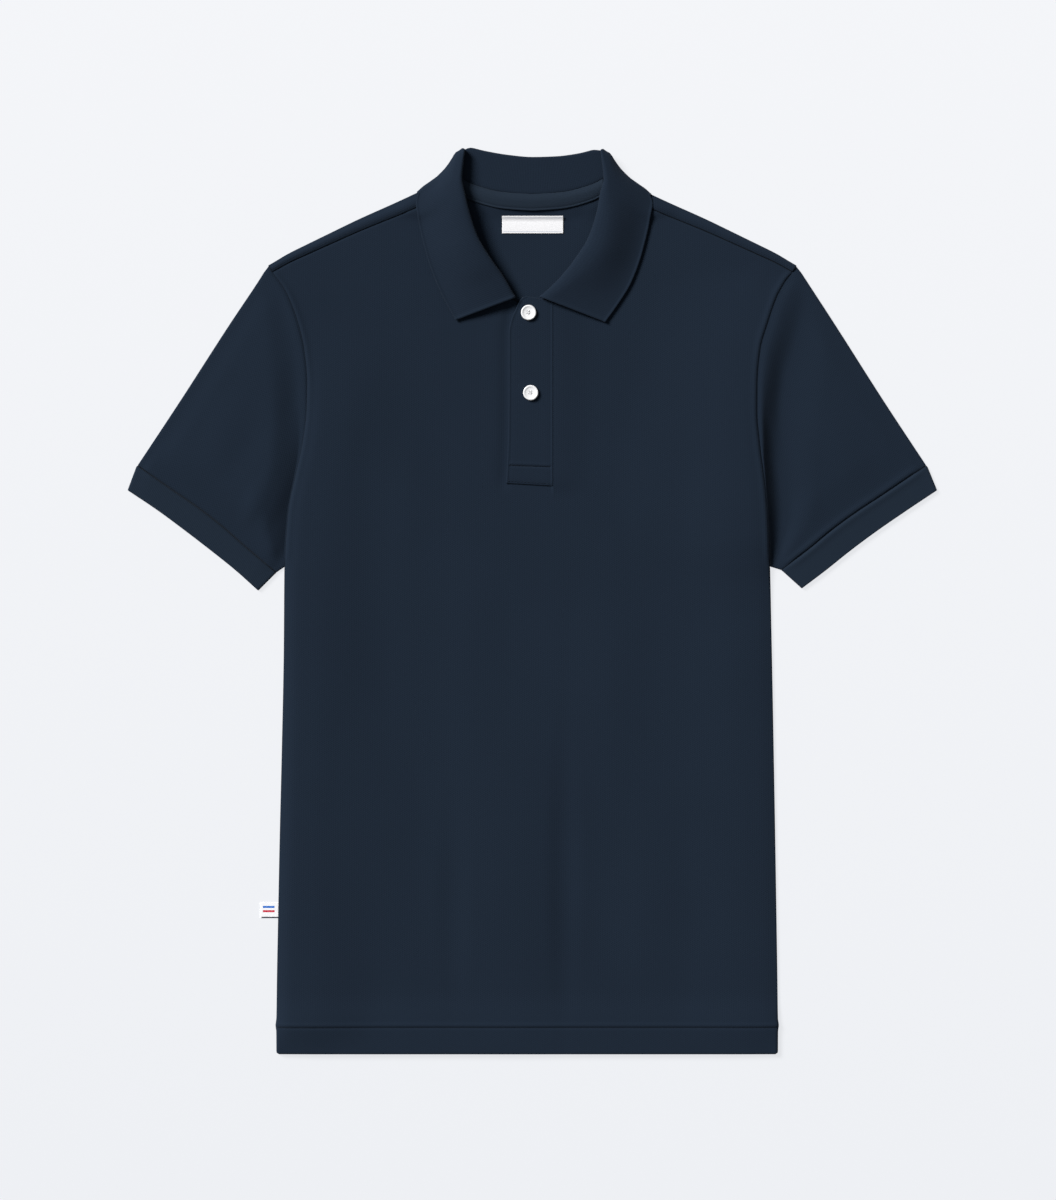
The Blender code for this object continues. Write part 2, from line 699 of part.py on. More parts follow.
def turn_sections(base, row, side):
    """The half turn at the side, from over the front panel to under the back panel."""
    seam_x, seam_h, fold_x, fold_h, fold_z, edge_x, edge_h = row
    outward = Vector((side * (fold_h - edge_h), edge_x - fold_x, 0.0)).normalized()
    spots = (
        # x, height, z over the front and z under the back
        (base[0], base[1], front_z(side * seam_x, seam_h), STAND_UNDER_Z),
        (fold_x, fold_h, fold_z, FOLD_UNDER_Z),
        (edge_x, edge_h, leaf_edge_z(side * edge_x, edge_h), 0.5 * RIB),
    )
    sections = []
    for angle in COLLAR_TURN_ANGLES:
        lift = math.sin(math.radians(angle))
        out = math.cos(math.radians(angle))
        ring = []
        for x, height, over, under in spots:
            half = 0.5 * (over - under)
            point = place(side * x, height, under + half + half * lift)
            ring.append(point - outward * TURN_INSET * half * (1.0 - out))
        normal = lift * UP + out * outward
        roll = BACK_ROLL + (FRONT_ROLL - BACK_ROLL) * 0.5 * (1.0 + lift)
        sections.append(collar_section(*ring, normal, roll, 0.0))
    return sections


def collar_half(name, side):
    """A side's sections from its front end round to the middle of the back."""
    bases = stand_edge(name)
    rows = COLLAR_FRONT[name]
    front = [front_section(base, row, side) for base, row in zip(bases, rows)]
    turn = turn_sections(bases[len(rows)], COLLAR_TURN[name], side)
    bases = bases[len(rows) + 1:]
    return front + turn + [back_section(base, row, side) for base, row in zip(bases, COLLAR_BACK)]


def collar_rows():
    left = collar_half("left", -1)
    sections = left + collar_half("right", 1)[-2::-1]
    count = len(sections)
    turn_first = len(COLLAR_FRONT["left"])
    turn_last = turn_first + len(COLLAR_TURN_ANGLES) - 1
    steps = []
    for i in range(count - 1):
        mirrored = count - 2 - i
        in_turn = turn_first <= i < turn_last or turn_first <= mirrored < turn_last
        steps += [i] if in_turn else [i, i + 0.5]
    steps.append(count - 1)
    keys = list(range(count))
    rows = []
    for spot in range(len(sections[0])):
        line = [section[spot] for section in sections]
        row = []
        for at in steps:
            below = int(at)
            if spot == 0 and below < count - 1:
                row.append(line[below].lerp(line[below + 1], at - below))
                continue
            row.append(Vector([smooth_value(keys, [point[axis] for point in line], at)
                               for axis in range(3)]))
        rows.append(row)
    return rows


def make_collar(collection):
    return add_wall("collar", collar_rows(), RIB, KNIT, collection)


def make_neck_tape(collection):
    """The tape over the back neck seam, stitched to the inside of the back panel."""
    neck = (NECK_TIP,) + BACK_NECKLINE
    keys = [-x for x, height in neck]
    heights = [height for x, height in neck]
    rows = []
    for down, lift in TAPE_ROWS:
        row = []
        for step in range(TAPE_STEPS + 1):
            x = -TAPE_END + 2.0 * TAPE_END * step / TAPE_STEPS
            height = smooth_value(keys, heights, -abs(x)) - down
            level = over_back_z(x, height) + 0.5 * CLOTH + SEAM_GAP + 0.5 * TRIM_WALL
            row.append(place(x, height, level + lift))
        rows.append(row)
    return add_wall("neck_tape", rows, TRIM_WALL, TAPE, collection)


# ---------------------------------------------------------------- placket and trims

def make_under_placket(collection):
    """The button side, which fills the front panel's slot at the panel's own level."""
    top, heights = front_rows()
    grid = panel_grid(top, heights, front_z)
    column = [x for x, height in top].index(SLOT_LEFT)
    side_gap = Vector((SEAM_GAP, 0.0, 0.0))
    rows = []
    for points in grid[heights.index(SLOT_ROW):]:
        left, middle, right = points[column:column + 3]
        rows.append([left + side_gap, middle, right - side_gap])
    for point in rows[0]:
        point.y += SEAM_GAP
    top_rise = UNDER_PLACKET_TOP - FRONT_NECK
    rows.append([point + Vector((0.0, top_rise, 0.0)) for point in rows[-1]])
    return add_wall("placket_under", rows, CLOTH, PIQUE, collection)


def placket_z(x, height):
    """Middle of the top placket, lying on the front panel."""
    lift = 0.5 * CLOTH + SEAM_GAP + PLACKET_LIFT + 0.5 * PLACKET_WALL
    return front_z(x, height) + lift


def make_placket(collection):
    rows = []
    for left, height, drop in PLACKET_ROWS:
        row = []
        for across in PLACKET_ACROSS:
            x = left + across * (PLACKET_RIGHT - left)
            row_height = height - across * drop
            row.append(place(x, row_height, placket_z(x, row_height)))
        rows.append(row)
    return add_wall("placket_top", rows, PLACKET_WALL, PIQUE, collection)


def make_patch(name, box, wall, z_at, finish, collection):
    """A flat woven piece over a box of places (left, right, bottom and top)."""
    left, right, bottom, top = box
    rows = []
    for up in (0.0, 0.5, 1.0):
        height = bottom + up * (top - bottom)
        rows.append([place(x, height, z_at(x, height))
                     for x in (left, 0.5 * (left + right), right)])
    return add_wall(name, rows, wall, finish, collection)


def make_neck_label(collection):
    def label_z(x, height):
        return over_back_z(x, height) + 0.5 * CLOTH + SEAM_GAP + 0.5 * TRIM_WALL
    return make_patch("neck_label", LABEL, TRIM_WALL, label_z, WOVEN, collection)


def make_side_tag(collection):
    """The folded tag caught in the left side seam; it ends beside the panels' edges."""
    left, bottom, top = TAG
    right = outline_x(0.5 * (bottom + top), -1) - TAG_GAP

    def tag_z(x, height):
        return 0.5 * TRIM_WALL + TAG_RISE * (x - left) / (right - left)
    box = (left, right, bottom, top)
    return make_patch("side_tag", box, TRIM_WALL, tag_z, WOVEN, collection)


def make_button(name, x, height, collection, cutters):
    """A turned four-hole button with a raised rim."""
    work = bmesh.new()
    corners = [work.verts.new((radius * MM, 0.0, z * MM)) for radius, z in BUTTON_PROFILE]
    for first, second in zip(corners, corners[1:]):
        work.edges.new((first, second))
    mesh = bpy.data.meshes.new(name)
    work.to_mesh(mesh)
    work.free()
    item = add_object(name, mesh, BUTTON, collection)
    turned = item.modifiers.new("turned", "SCREW")
    turned.steps = BUTTON_STEPS
    turned.render_steps = BUTTON_STEPS
    turned.use_merge_vertices = True
    turned.merge_threshold = 0.02 * MM
    turned.use_smooth_shade = True
    base = placket_z(x, height) + 0.5 * PLACKET_WALL + SEAM_GAP
    item.location = place(x, height, base) * MM

    holes = bmesh.new()
    half = 0.5 * BUTTON_HOLE_PITCH
    depth = 3.0 * max(z for radius, z in BUTTON_PROFILE)
    for across, up in ((-half, -half), (half, -half), (half, half), (-half, half)):
        made = bmesh.ops.create_cone(holes, cap_ends=True, segments=8, depth=depth * MM,
                                     radius1=BUTTON_HOLE * MM, radius2=BUTTON_HOLE * MM)
        bmesh.ops.translate(holes, verts=made["verts"], vec=Vector((across, up, 0.0)) * MM)
    hole_mesh = bpy.data.meshes.new(name + "_holes")
    holes.to_mesh(hole_mesh)
    holes.free()
    cutter = bpy.data.objects.new(name + "_holes", hole_mesh)
    cutters.objects.link(cutter)
    cutter.location = item.location
    cutter.hide_render = True
    cutter.display_type = "WIRE"
    cut = item.modifiers.new("holes", "BOOLEAN")
    cut.operation = "DIFFERENCE"
    cut.solver = "EXACT"
    cut.object = cutter
    return item


def main():
    clear_scene()
    shirt = make_collection("polo_shirt")
    cutters = make_collection("cutters")
    make_back(shirt)
    make_front(shirt)
    for name, shape in SLEEVES.items():
        make_sleeve(name, shape, shirt)
        make_cuff(name, shape, shirt)
    make_collar(shirt)
    make_neck_tape(shirt)
    make_under_placket(shirt)
    make_placket(shirt)
    make_neck_label(shirt)
    make_side_tag(shirt)
    for name, x, height in BUTTONS:
        make_button(name, x, height, shirt, cutters)
    bpy.context.view_layer.update()


main()
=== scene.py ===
"""Looks of a short-sleeved knitted polo shirt, buttoned and laid face up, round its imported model.

Tables and shapes are in millimetres: x from the middle line, height from the hem up the shirt,
and z from the surface that it lies on. They become metres when a mesh is made.
"""

import math

import bpy
import numpy as np
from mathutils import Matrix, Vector, kdtree


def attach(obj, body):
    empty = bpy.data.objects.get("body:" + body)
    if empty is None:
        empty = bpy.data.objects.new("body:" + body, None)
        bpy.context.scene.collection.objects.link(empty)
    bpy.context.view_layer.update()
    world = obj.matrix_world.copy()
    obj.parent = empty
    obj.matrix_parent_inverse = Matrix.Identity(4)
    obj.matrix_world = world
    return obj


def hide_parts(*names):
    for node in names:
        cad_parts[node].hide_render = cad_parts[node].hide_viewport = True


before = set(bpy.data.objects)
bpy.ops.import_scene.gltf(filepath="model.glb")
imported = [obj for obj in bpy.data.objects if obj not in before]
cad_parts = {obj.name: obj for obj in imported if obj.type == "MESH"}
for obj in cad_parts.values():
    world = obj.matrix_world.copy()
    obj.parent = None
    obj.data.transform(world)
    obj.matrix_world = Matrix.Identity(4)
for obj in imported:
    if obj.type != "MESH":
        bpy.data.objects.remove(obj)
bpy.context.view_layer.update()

MM = 0.001
BODY = "root"
LEFT, RIGHT = -1, 1       # the sign of x on the viewer's left and right

# Sizes, as the solids have them
LENGTH = 768.3            # top of the collar fold to the hem
CLOTH = 1.0               # pique panel
RIB = 1.4                 # collar and cuff knit
SEAM_GAP = 0.3
LAYER = CLOTH + SEAM_GAP  # one panel lying on another
TURN = 0.5 * LAYER        # middle radius of a flat fold of panel cloth
FOLD_IN = 0.5 * CLOTH + TURN        # from a fold's outside to the middle of its bend
FOLD_ARC = (-60, -30, 0, 30, 60)    # degrees round a bend where it has its rows
HEM_DEPTH = 22.5
HEM_SLOPE = 30
UNDERARM = 414
SHOULDER_END = (220.9, 663.5)       # shoulder seam at the armhole
SHOULDER_TIP = (224.3, 669.4)       # shoulder fold at the armhole
NECK_TIP = (68.2, 745.5)            # shoulder fold at the neck
SEAM_AT_NECK = (70.7, 731)
BACK_NECK = 727.6
FRONT_NECK = 637.5
SLOT = (-9, 13)           # the front panel's slot under the placket
SLOT_BOTTOM = 499
FALL_EDGE = 720.4

# How the back panel climbs over the collar's fall, whose edge drops towards the sides
CLIMB_RISE = 0.0002
CLIMB_LENGTH = 4
CLIMB_CLEAR = 4
CLIMB_LEAD = 5            # what lies on it climbs this much sooner
CLIMB_OUTER = 126
CLIMB_FADE = 23

# How finely the shapes are drawn
EDGE_STEPS = (0, 0.05, 0.16, 0.35, 0.62, 1, 1.5, 2.2, 3.2, 4.6, 6.5, 9, 12, 16)
PANEL_STEP = 4.6
SHOULDER_COLUMNS = 27     # between a shoulder's fine edge and the neck
NECK_COLUMNS = 20
NECK_HEM = 92             # x at the hem below the shoulder seam's end at the neck
LEVEL_TO = 360            # rows are level up to this height
HEM_ROWS = (HEM_DEPTH, HEM_DEPTH - 0.3, HEM_DEPTH - 1, 15, 8, 3, FOLD_IN)
PANEL_ROWS = (FOLD_IN, 3, 6, 10, 14, 17.5, 19.8, 21, 21.7, 22.2, 22.5, 22.8, 23.3, 24, 25, 26.2,
              27.8, 30, 34)
PLACKET_COLUMNS = (31.5, 28.8, 26.4, 24.6, 23.3, 22.4, 21.6, 20.9, 20.3, 19.7, 19.1, 18.5, 18,
                   17.5, 17, 16.4, 15.4)
STRIP_ROWS = (0.3, 0.55, 0.75, 0.86, 0.93, 0.965, 0.985, 0.996, 1)
TUBE_COLUMNS = 48
TUBE_CLOSER = 0.35        # how much closer its columns are beside the folds
SLEEVE_STEP = 4.2
CUFF_STEP = 2.4
JOIN = 0.04               # between the edges of pieces sewn together
ALL_EDGES = "all edges"
UNSEWN = 10               # distance from a seam where a piece has none

# The body's outline: height, left edge and right edge
OUTLINE = np.array((
    (0, -216.1, 207.3), (2.5, -216.8, 208), (19, -216.9, 208.1), (24.5, -217.5, 208.7),
    (31, -216.8, 208), (55, -216.6, 207.8), (110, -215.6, 207), (180, -214.2, 205.9),
    (260, -212.3, 204.5), (340, -210.7, 203), (414, -210.1, 201.3), (460, -207.2, 199.3),
    (490, -201.3, 196.5), (518, -195.2, 192.8), (545, -191.8, 190.5), (570, -191.2, 190.7),
    (598, -193.8, 193.3), (620, -199.1, 199.8), (642, -207.6, 207.7), (650, -211.8, 211.9),
    (656, -216, 215.3), (660, -218.6, 218.4), (663.5, -220.9, 220.9), (669.4, -224.3, 224.3),
))
HEM_NARROW = 0.986        # the turned-up hem's width beside the outer cloth's
FRONT_NECKLINE = (SEAM_AT_NECK, (70.8, 722), (70.3, 713.6), (63.9, 686.4), (51.2, 665),
                  (34.2, 649.2))
BACK_NECKLINE = (NECK_TIP, (49.5, 735.6), (25, 729.4), (0, BACK_NECK))

# The shoulder lines bow up between neck and sleeve: how far, from and to what x with their
# fades, and from what height with its fade
SHOULDER_BOW = 1.9
BOW_ACROSS = (96, 227, 60, 24)
BOW_UP = (570, 90)

# Soft folds: x and height of the middle, half width, half length, lean and rise
FRONT_FOLDS = (
    (-19, 150, 78, 200, 0, 3), (27, 150, 18, 170, 0, -1.4), (-67, 125, 19, 115, 0, -0.9),
    (100, 120, 42, 120, 0, 1.3), (-135, 190, 42, 150, 0, 1.2), (-112, 480, 40, 110, 0, 1.3),
    (104, 490, 38, 100, 0, 1.4), (66, 330, 40, 120, 0, 1), (-52, 340, 38, 110, 0, 0.9),
)
SIDE_LOOSE = 30           # the front comes up to its level within this of its edges
FRONT_LOOSE = 0.9
ARMHOLE_LOOSE = 0.5
SIDE_FULL = (3.2, 1.3)    # the tube of the body is fuller beside its left and right edges
SIDE_FULL_WIDTH = 13
SIDE_FULL_FADE = 60
SIDE_FULL_TOP = (630, 100)
# How much the front stands up along the armholes: height, left and right
ARMHOLE_RISE = np.array((
    (376, 0, 0), (400, 0.1, 1.2), (416, 0.3, 3.4), (440, 0.3, 6.6), (475, 0.3, 8.2),
    (510, 0.3, 8), (550, 0.4, 7), (600, 0.5, 5.2), (640, 0.3, 2.7), (660, 0.1, 0.7), (670, 0, 0),
))
ARMHOLE_RISE_WIDTH = 108
ARMHOLE_REACH = (UNDERARM, SHOULDER_END[1] + 4, 8)  # heights of its seam, and their fade
SIDE_OPEN = 3             # the sides open into the sleeves within this of the underarm

# Ridges and grooves along edges and seams: distance from the line, width and rise
SEAM_PRESS = 0.6          # how far a seam pulls its edges in
ARMHOLE_SEAM = ((2.6, 2.2, 0.7), (0, 1, -SEAM_PRESS))
SHOULDER_SEAM = ((0, 1.1, -SEAM_PRESS),)
SHOULDER_STRIP = ((4, 3.5, 1.2), (0, 1.1, 0.35 - SEAM_PRESS))
HEM_SEAM = ((0, 0.9, -0.55), (2.2, 1.4, 0.8))
SLEEVE_END = ((3, 2.2, 0.7), (0, 0.9, -1.25))
CUFF_SEAM = ((2.6, 2, 0.5), (0, 0.9, -0.4))
COLLAR_EDGE = ((0.9, 0.9, 0.35),)   # the collar's is a share of its thickness
COLLAR_END = ((1, 0.9, 0.55),)
PLACKET_DIP = ((-2.5, 5, -0.9),)    # the front dips beside the placket's left edge
PLACKET_EDGES = ((0.7, 0.9, 0.2), (2.4, 0.9, -0.15))
PLACKET_END = ((0, 3, -0.5),)
BOX_SEAM = ((2, 1.2, 0.35), (0, 0.8, -0.85))

# A sleeve's upper fold, its seam to the cuff and the cuff's edge. Its profile is the place
# across the armhole; distance from the armhole and height of the ridge beside the seam, of the
# fold behind it and of the full cloth beyond; and how hooked the two slopes are
SLEEVES = {
    "left": {
        "side": LEFT,
        "upper": ((-231, 658.5), (-257.7, 618.4), (-298.3, 555.5)),
        "seam": ((-335.2, 499.6), (-303.6, 477.3), (-282.4, 462.8), (-262.8, 447.5),
                 (-243.3, 430.5), (-217.4, 408.6)),
        "edge": ((-343.6, 478.6), (-318.1, 462), (-295.1, 445), (-273, 428), (-251.8, 411),
                 (-232.4, 393.6)),
        "profile": (
            (0, 3, 2.3, 8, 2.2, 26, 2.6, 0), (0.1, 3, 2.6, 9, 2.3, 30, 3.8, 0),
            (0.22, 3, 3.1, 12, 2.6, 42, 5.2, 0), (0.4, 3, 2.9, 14, 2.2, 46, 6.4, 0),
            (0.5, 2, 2.5, 10, 1.9, 46, 7.6, 0.3), (0.6, 1.5, 2.1, 5, 1.8, 46, 8.4, 0.7),
            (0.71, 1, 1.9, 2.5, 1.8, 44, 8.4, 1), (0.82, 1, 1.9, 2, 1.8, 38, 7.4, 1),
            (0.95, 1, 1.9, 2, 1.8, 24, 4.4, 1), (1, 1, 1.9, 2, 1.8, 10, 2.2, 1)),
        "hooks": (0, 0.5),
        "folds": ((-239, 459, 14, 38, 0.38, 1.6), (-262, 520, 24, 60, 0.3, 0.7)),
        "cuff_drop": 0.4,
    },
    "right": {
        "side": RIGHT,
        "upper": ((231.4, 658.5), (257.5, 618.4), (297.6, 555.5)),
        "seam": ((334.4, 499.6), (295.6, 473.3), (274.8, 459.6), (254.8, 445), (234, 427.9),
                 (211.3, 410.9)),
        "edge": ((343.6, 478.6), (316.9, 462), (292.2, 445), (269.3, 428), (248, 411),
                 (228.1, 396)),
        "profile": (
            (0, 7, 2.4, 18, 2.1, 50, 2.6, 0), (0.07, 8, 3.8, 28, 2, 64, 3.4, 0),
            (0.17, 8, 5.9, 33, 1.8, 80, 4, 0), (0.3, 7, 7.8, 32, 1.6, 80, 4.2, 0),
            (0.46, 6.5, 9.4, 30, 1.6, 76, 4.2, 0.4), (0.54, 6, 9.9, 32, 1.6, 74, 4.2, 0.8),
            (0.65, 2.4, 10.3, 30, 1.6, 68, 4.2, 1), (0.76, 0.6, 10.3, 28, 1.6, 56, 4, 1),
            (0.87, 0.5, 9.2, 24, 1.6, 40, 3.4, 1), (0.97, 0.4, 6, 17, 1.7, 26, 2.4, 1),
            (1, 0.4, 4, 10, 1.8, 14, 2.2, 1)),
        "hooks": (1, 0),
        "folds": ((262, 520, 26, 52, -0.45, 0.8), (238, 455, 16, 30, -0.55, 0.7)),
        "cuff_drop": 1,
    },
}
PROFILE_LIMITS = (0.15, 0.45, 0.8)  # how much of a short sleeve its profile may take up
HOOK_POWER = 3.2
ARMHOLE_LAP = (0.3, 0.5)  # how far the sleeve's edge goes in, all along and more at the tip
LAP_TIP = 0.12            # share of the armhole that the tip takes
LAP_FADE = 8
FOLD_SPREAD = 20          # how far from its folds a sleeve comes up to its height
CUFF_SPREAD = 16
SLEEVE_FLAT = 6           # this close to the armhole the sleeve keeps the panel's level
SLEEVE_FOLDS_FADE = 12    # beyond that its soft folds come in over this
SLEEVE_SLOPE = 36         # it comes down to the cuff over this
SLEEVE_AT_CUFF = 2.75     # middle of the sleeve's upper layer where it meets the cuff
CUFF_OUT = 0.6            # the cuff stands out this far at the upper fold
CUFF_LOOSE = 0.7
CUFF_DEPTH = 22
CUFF_BLEND = 1.6

# The collar from the front end of a leaf up: where its neck seam starts, then for each point of
# the front neckline the top fold with its height, the free edge, how wide the fold rolls and how
# far it rises, how far the edge stays above the front, and how much of the leaf's drop comes in
# its first half. The turn is the fold and edge at the side
COLLAR = {
    "left": {
        "side": LEFT,
        "start": (21, 640.9),
        "front": (
            # fold x, fold h, fold z, edge x, edge h, roll, rise, rest, settle
            (14.6, 641.4, 7.6, 64.8, 622.6, 2.6, 1.6, 0.7, 0),
            (24.6, 659, 10.6, 74.1, 639.2, 3.4, 1.8, 0.5, 0.3),
            (35.6, 674.3, 13.4, 81.5, 655, 4.2, 2, 0.5, 0.6),
            (47.2, 694, 14.8, 89.3, 676.6, 4.6, 2, 0.5, 0.6),
            (55.2, 719, 15, 96, 703.6, 4.2, 1.9, 0.5, 0.6),
            (57.8, 730.5, 14.4, 97.5, 712.4, 3.6, 1.8, 0.5, 0.6),
            (60, 743, 13.2, 98.6, 721.5, 2.6, 1.6, 0.5, 0.4)),
        "turn": (58.3, 767.6, 10.2, 98.8, 732),
        "back_folds": (768.7, 766, 762.6, 760.8),
        "crown": 0.9,
    },
    "right": {
        "side": RIGHT,
        "start": (17.5, 640),
        "front": (
            (6.6, 642.2, 6.6, 61.9, 621, 7, 2.2, 0.9, 0),
            (21.5, 656, 7.4, 74.3, 638.4, 10, 3.2, 0.9, 0.4),
            (36.6, 674.3, 8.9, 83.4, 653.4, 12.5, 4, 0.9, 0.8),
            (48.6, 694, 10.1, 91.8, 675, 12.5, 4.4, 0.9, 0.9),
            (56.2, 719, 11, 99.1, 703.6, 9, 3.2, 1, 0.8),
            (58, 730.5, 11.3, 100.6, 712.4, 6.5, 2.6, 0.8, 0.6),
            (60.9, 743, 11.5, 102.2, 721.5, 3.5, 1.9, 0.5, 0.4)),
        "turn": (58.9, 767, 10, 101.8, 730.2),
        "back_folds": (766.9, 764.1, 761.4, 760.8),
        "crown": 0,
    },
}
# Round the back: neck seam, x of the fold, and free edge
COLLAR_BACK = (
    ((62, 741.9), 52.5, (88, 729)), ((49.5, 735.6), 40.4, (74, 726.4)),
    ((25, 729.4), 20.5, (36, 721.8)), ((0, BACK_NECK), 0, (0, FALL_EDGE)),
)
# The collar's side outline at the half turn, out from a straight line: share of the way from
# the fold to the free edge, and distance
TURN_BOW = ((0, 0), (0.04, 0.2), (0.09, 1), (0.15, 0.5), (0.2, -0.4), (0.31, -1.9),
            (0.43, -2.9), (0.57, -3.2), (0.73, -2.3), (0.9, -1.3), (1, -1.6))
TURN_ANGLES = (90, 45, 0, -45, -90)
TURN_INSET = (0.7, 0.25, 0.7)       # at the neck seam, at the top fold and at the free edge
FOLD_UNDER_Z = 1.9
STAND_UNDER_Z = 1.5 * RIB + SEAM_GAP
BACK_ROLL = 0.5 * (RIB + SEAM_GAP)
STAND_ROLL = 1.5
STAND_GAP = 0.9           # between the neck seam and the stand's tilted edge
LEAF_REST = 0.5
STAND_STEPS = 14
STAND_TURN_STEPS = 6
ROLL_STEPS = 8
LEAF_STEPS = 20
COLLAR_FOLD_AT = STAND_STEPS + 4    # the section's point that the rows are spaced along
COLLAR_STEP = 3
COLLAR_ENDS = np.array((0, 0.009, 0.027, 0.063, 0.117, 0.198))
COLLAR_END_GAP = 0.05

# Placket from its box end to the rounded top: left edge, height there, and how much lower the
# row runs at the right edge
PLACKET_ROWS = np.array((
    (-22.2, 484.4, 2.4), (-20.4, 530, 0), (-20.1, 580, 0), (-20.1, 612, 0), (-17.8, 623.8, 0),
    (-14, 632.5, 0.6), (-11.8, 637.8, 1.6), (-9.2, 641.2, 3.2), (-4.6, 643.2, 4.6),
))
PLACKET_RIGHT = 17.7
PLACKET_LONG = 164
PLACKET_WIDE = 38
PLACKET_WALL = 1.6
PLACKET_LIFT = 0.1        # between the front and the placket's underside
PLACKET_STEP = 1.5        # the front stands up to the placket's right edge
STEP_UP = (-1.6, 1.8)     # where it comes up, beyond that edge, and over what width
STEP_DOWN = (1, 32)
PLACKET_REACH = (474, 652, 14)      # heights where the front follows it, and their fade
BOX_LINE = (15.1, 1.5)    # the box's stitched line over the lower left corner, and its drop
BOX_INSET = 1.2           # between the sides and the stitched line's groove
BOX_FADE = 1.5
BOX_ROWS = (-2.8, -2, -1.4, -1, -0.7, -0.4, -0.1, 0.2, 0.5, 0.8, 1.2, 1.8, 2.6, 3.4, 4.4)
UNDER_PLACKET = (SLOT_BOTTOM + 1, 642.6)

BUTTONS = (("button_upper", -3.2, 629.2), ("button_lower", -1.4, 561.2))
# Radius and height: the face's dish, the rim, the side and the back
BUTTON_PROFILE = (
    (0, 1.85), (2.4, 1.85), (3.9, 1.92), (4.6, 2.15), (5.1, 2.48), (5.6, 2.6), (6, 2.52),
    (6.35, 2.2), (6.5, 1.75), (6.45, 1.25), (6.25, 0.7), (5.8, 0.2), (5, 0), (0, 0),
)
BUTTON_AROUND = 56
DRILL_PROFILE = ((0, 6), (0.55, 6), (0.55, -3), (0, -3))
DRILL_AROUND = 16
HOLE_OUT = 0.875          # from the button's middle to its holes, across and up

TAPE_END = 60
# Distance below the neck seam, and how far the tape stands up over the seam's allowance
TAPE_ROWS = np.array(((-2.2, 0.1), (-0.6, 0.55), (1.5, 1.15), (3.4, 1.35), (6, 1.15), (8.6, 0.7),
                      (9.6, 0.35), (10.2, 0), (10.9, 0.35), (12, 0.1)))
TAPE_WALL = 1.0
LABEL = (-25.7, 26.2, 696.6, 711.4)
LABEL_WALL = 0.6
LABEL_BOW = 0.15
TAG = (-231.4, 115.4, 128.8)
TAG_WALL = 0.45
TAG_TILT = 0.4
TAG_COLUMNS = 14
TAG_UNDERSIDE = 100       # what the knit coordinates of the tag's underside are moved by

# Stitches: insets from the edges that they follow, and how deep they lie in the cloth
STITCH_POINTS = 60
STITCH_IN = 2.2
STITCH_SINK = 0.3
SURFACE_SINK = 0.05
SHOULDER_SINK = 0.08
HEM_STITCHES_IN = 2.5
HEM_STITCH_POINTS = 160
SHOULDER_STITCHES = (3, 26, 2.6)    # from the armhole, from the neck and behind the seam
TAPE_STITCHES_IN = 2
BOX_STITCHES_IN = 2
BOX_STITCH_POINTS = 14
STITCH_HEIGHTS = (486.5, 634)
STITCH_RIGHT_POINTS = 52
BOX_STITCHES = ((BOX_LINE[0], 0.45), (2, 0.1))  # above the placket's end, and how deep
TAPE_STITCH_DOWN = 9.9
BUTTON_THREAD = ((-1, -1, 0, 1, 1), (-1.2, 0.1, 0.3, 0.1, -1.2))    # across and up

# Colours and tones
NAVY = (0.0116, 0.0203, 0.0355, 1)
RIB_NAVY = (0.0118, 0.0205, 0.0358, 1)
CUFF_NAVY = (0.0138, 0.0235, 0.0395, 1)
TAPE_NAVY = (0.0145, 0.0251, 0.0418, 1)
THREAD_NAVY = (0.0118, 0.0200, 0.0345, 1)
THREAD_WHITE = (0.78, 0.78, 0.79, 1)
SEAM_PAINTED_SHADE = (0.2, 1, 0.3, 1)       # painted shade along sewn edges, where the seams sink in: distances and tones
WHITE_CLOTH = (0.975, 0.968, 0.985, 1)
BORDER = (0.42, 0.47, 0.58, 1)
# painted shadow under the tag's lower edge
TAG_PAINTED_SHADOW = (0.008, 0.011, 0.025, 1)
BLUE_STRIPE = (0.02, 0.17, 0.62, 1)
RED_STRIPE = (0.62, 0.02, 0.05, 1)
BUTTON_WHITE = (0.99, 0.99, 0.995, 1)
BUTTON_CLOUD = (0.93, 0.93, 0.94, 1)
# Bars of colour, woven ones and the tag's painted shadow: left, right, bottom and top in the
# cloth's own millimetres, and colour
LABEL_BARS = (((1.5, 50.4, 13, 13.3), BORDER), ((1.5, 50.4, 1.5, 1.8), BORDER))
# the first bar, along the tag's lower edge, is a painted shadow
TAG_BARS = (((1.5, 16, 0, 1.1), TAG_PAINTED_SHADOW), ((2.6, 12.6, 5, 6.7), RED_STRIPE),
            ((2.6, 12.6, 8.6, 10.3), BLUE_STRIPE))

# Camera and light
FRAME_SIZE = (1056, 1200)
PIXEL = 0.849             # millimetres that one pixel of the frame covers
FRAME_MIDDLE = (-3.7, 1.28)
FRAME_LEVEL = 1.0
LENS = 150.0
SENSOR = 36.0
FLOOR_HALF = 60.0         # metres
FLOOR_Z = -0.0002
# painted light: the floor is darker towards the bottom of the frame and lighter towards the top
FLOOR_TONES = ((0.855, 0.871, 0.905, 1), (0.909, 0.920, 0.948, 1))
FLOOR_REACH = 0.55
FLOOR_GLOW = 0.86         # the lit floor takes little of the shadows
ROOM_LIGHT = 0.16
ROOM_TONE = (0.96, 0.98, 1, 1)
ROOM_SEEN = (0.895, 0.908, 0.938, 1)
# name, bearing from +X, elevation, strength and angle across
LAMPS = (("key_upper_left", 142, 38, 4.22, 24),)


# ---------------------------------------------------------------- curves and heights

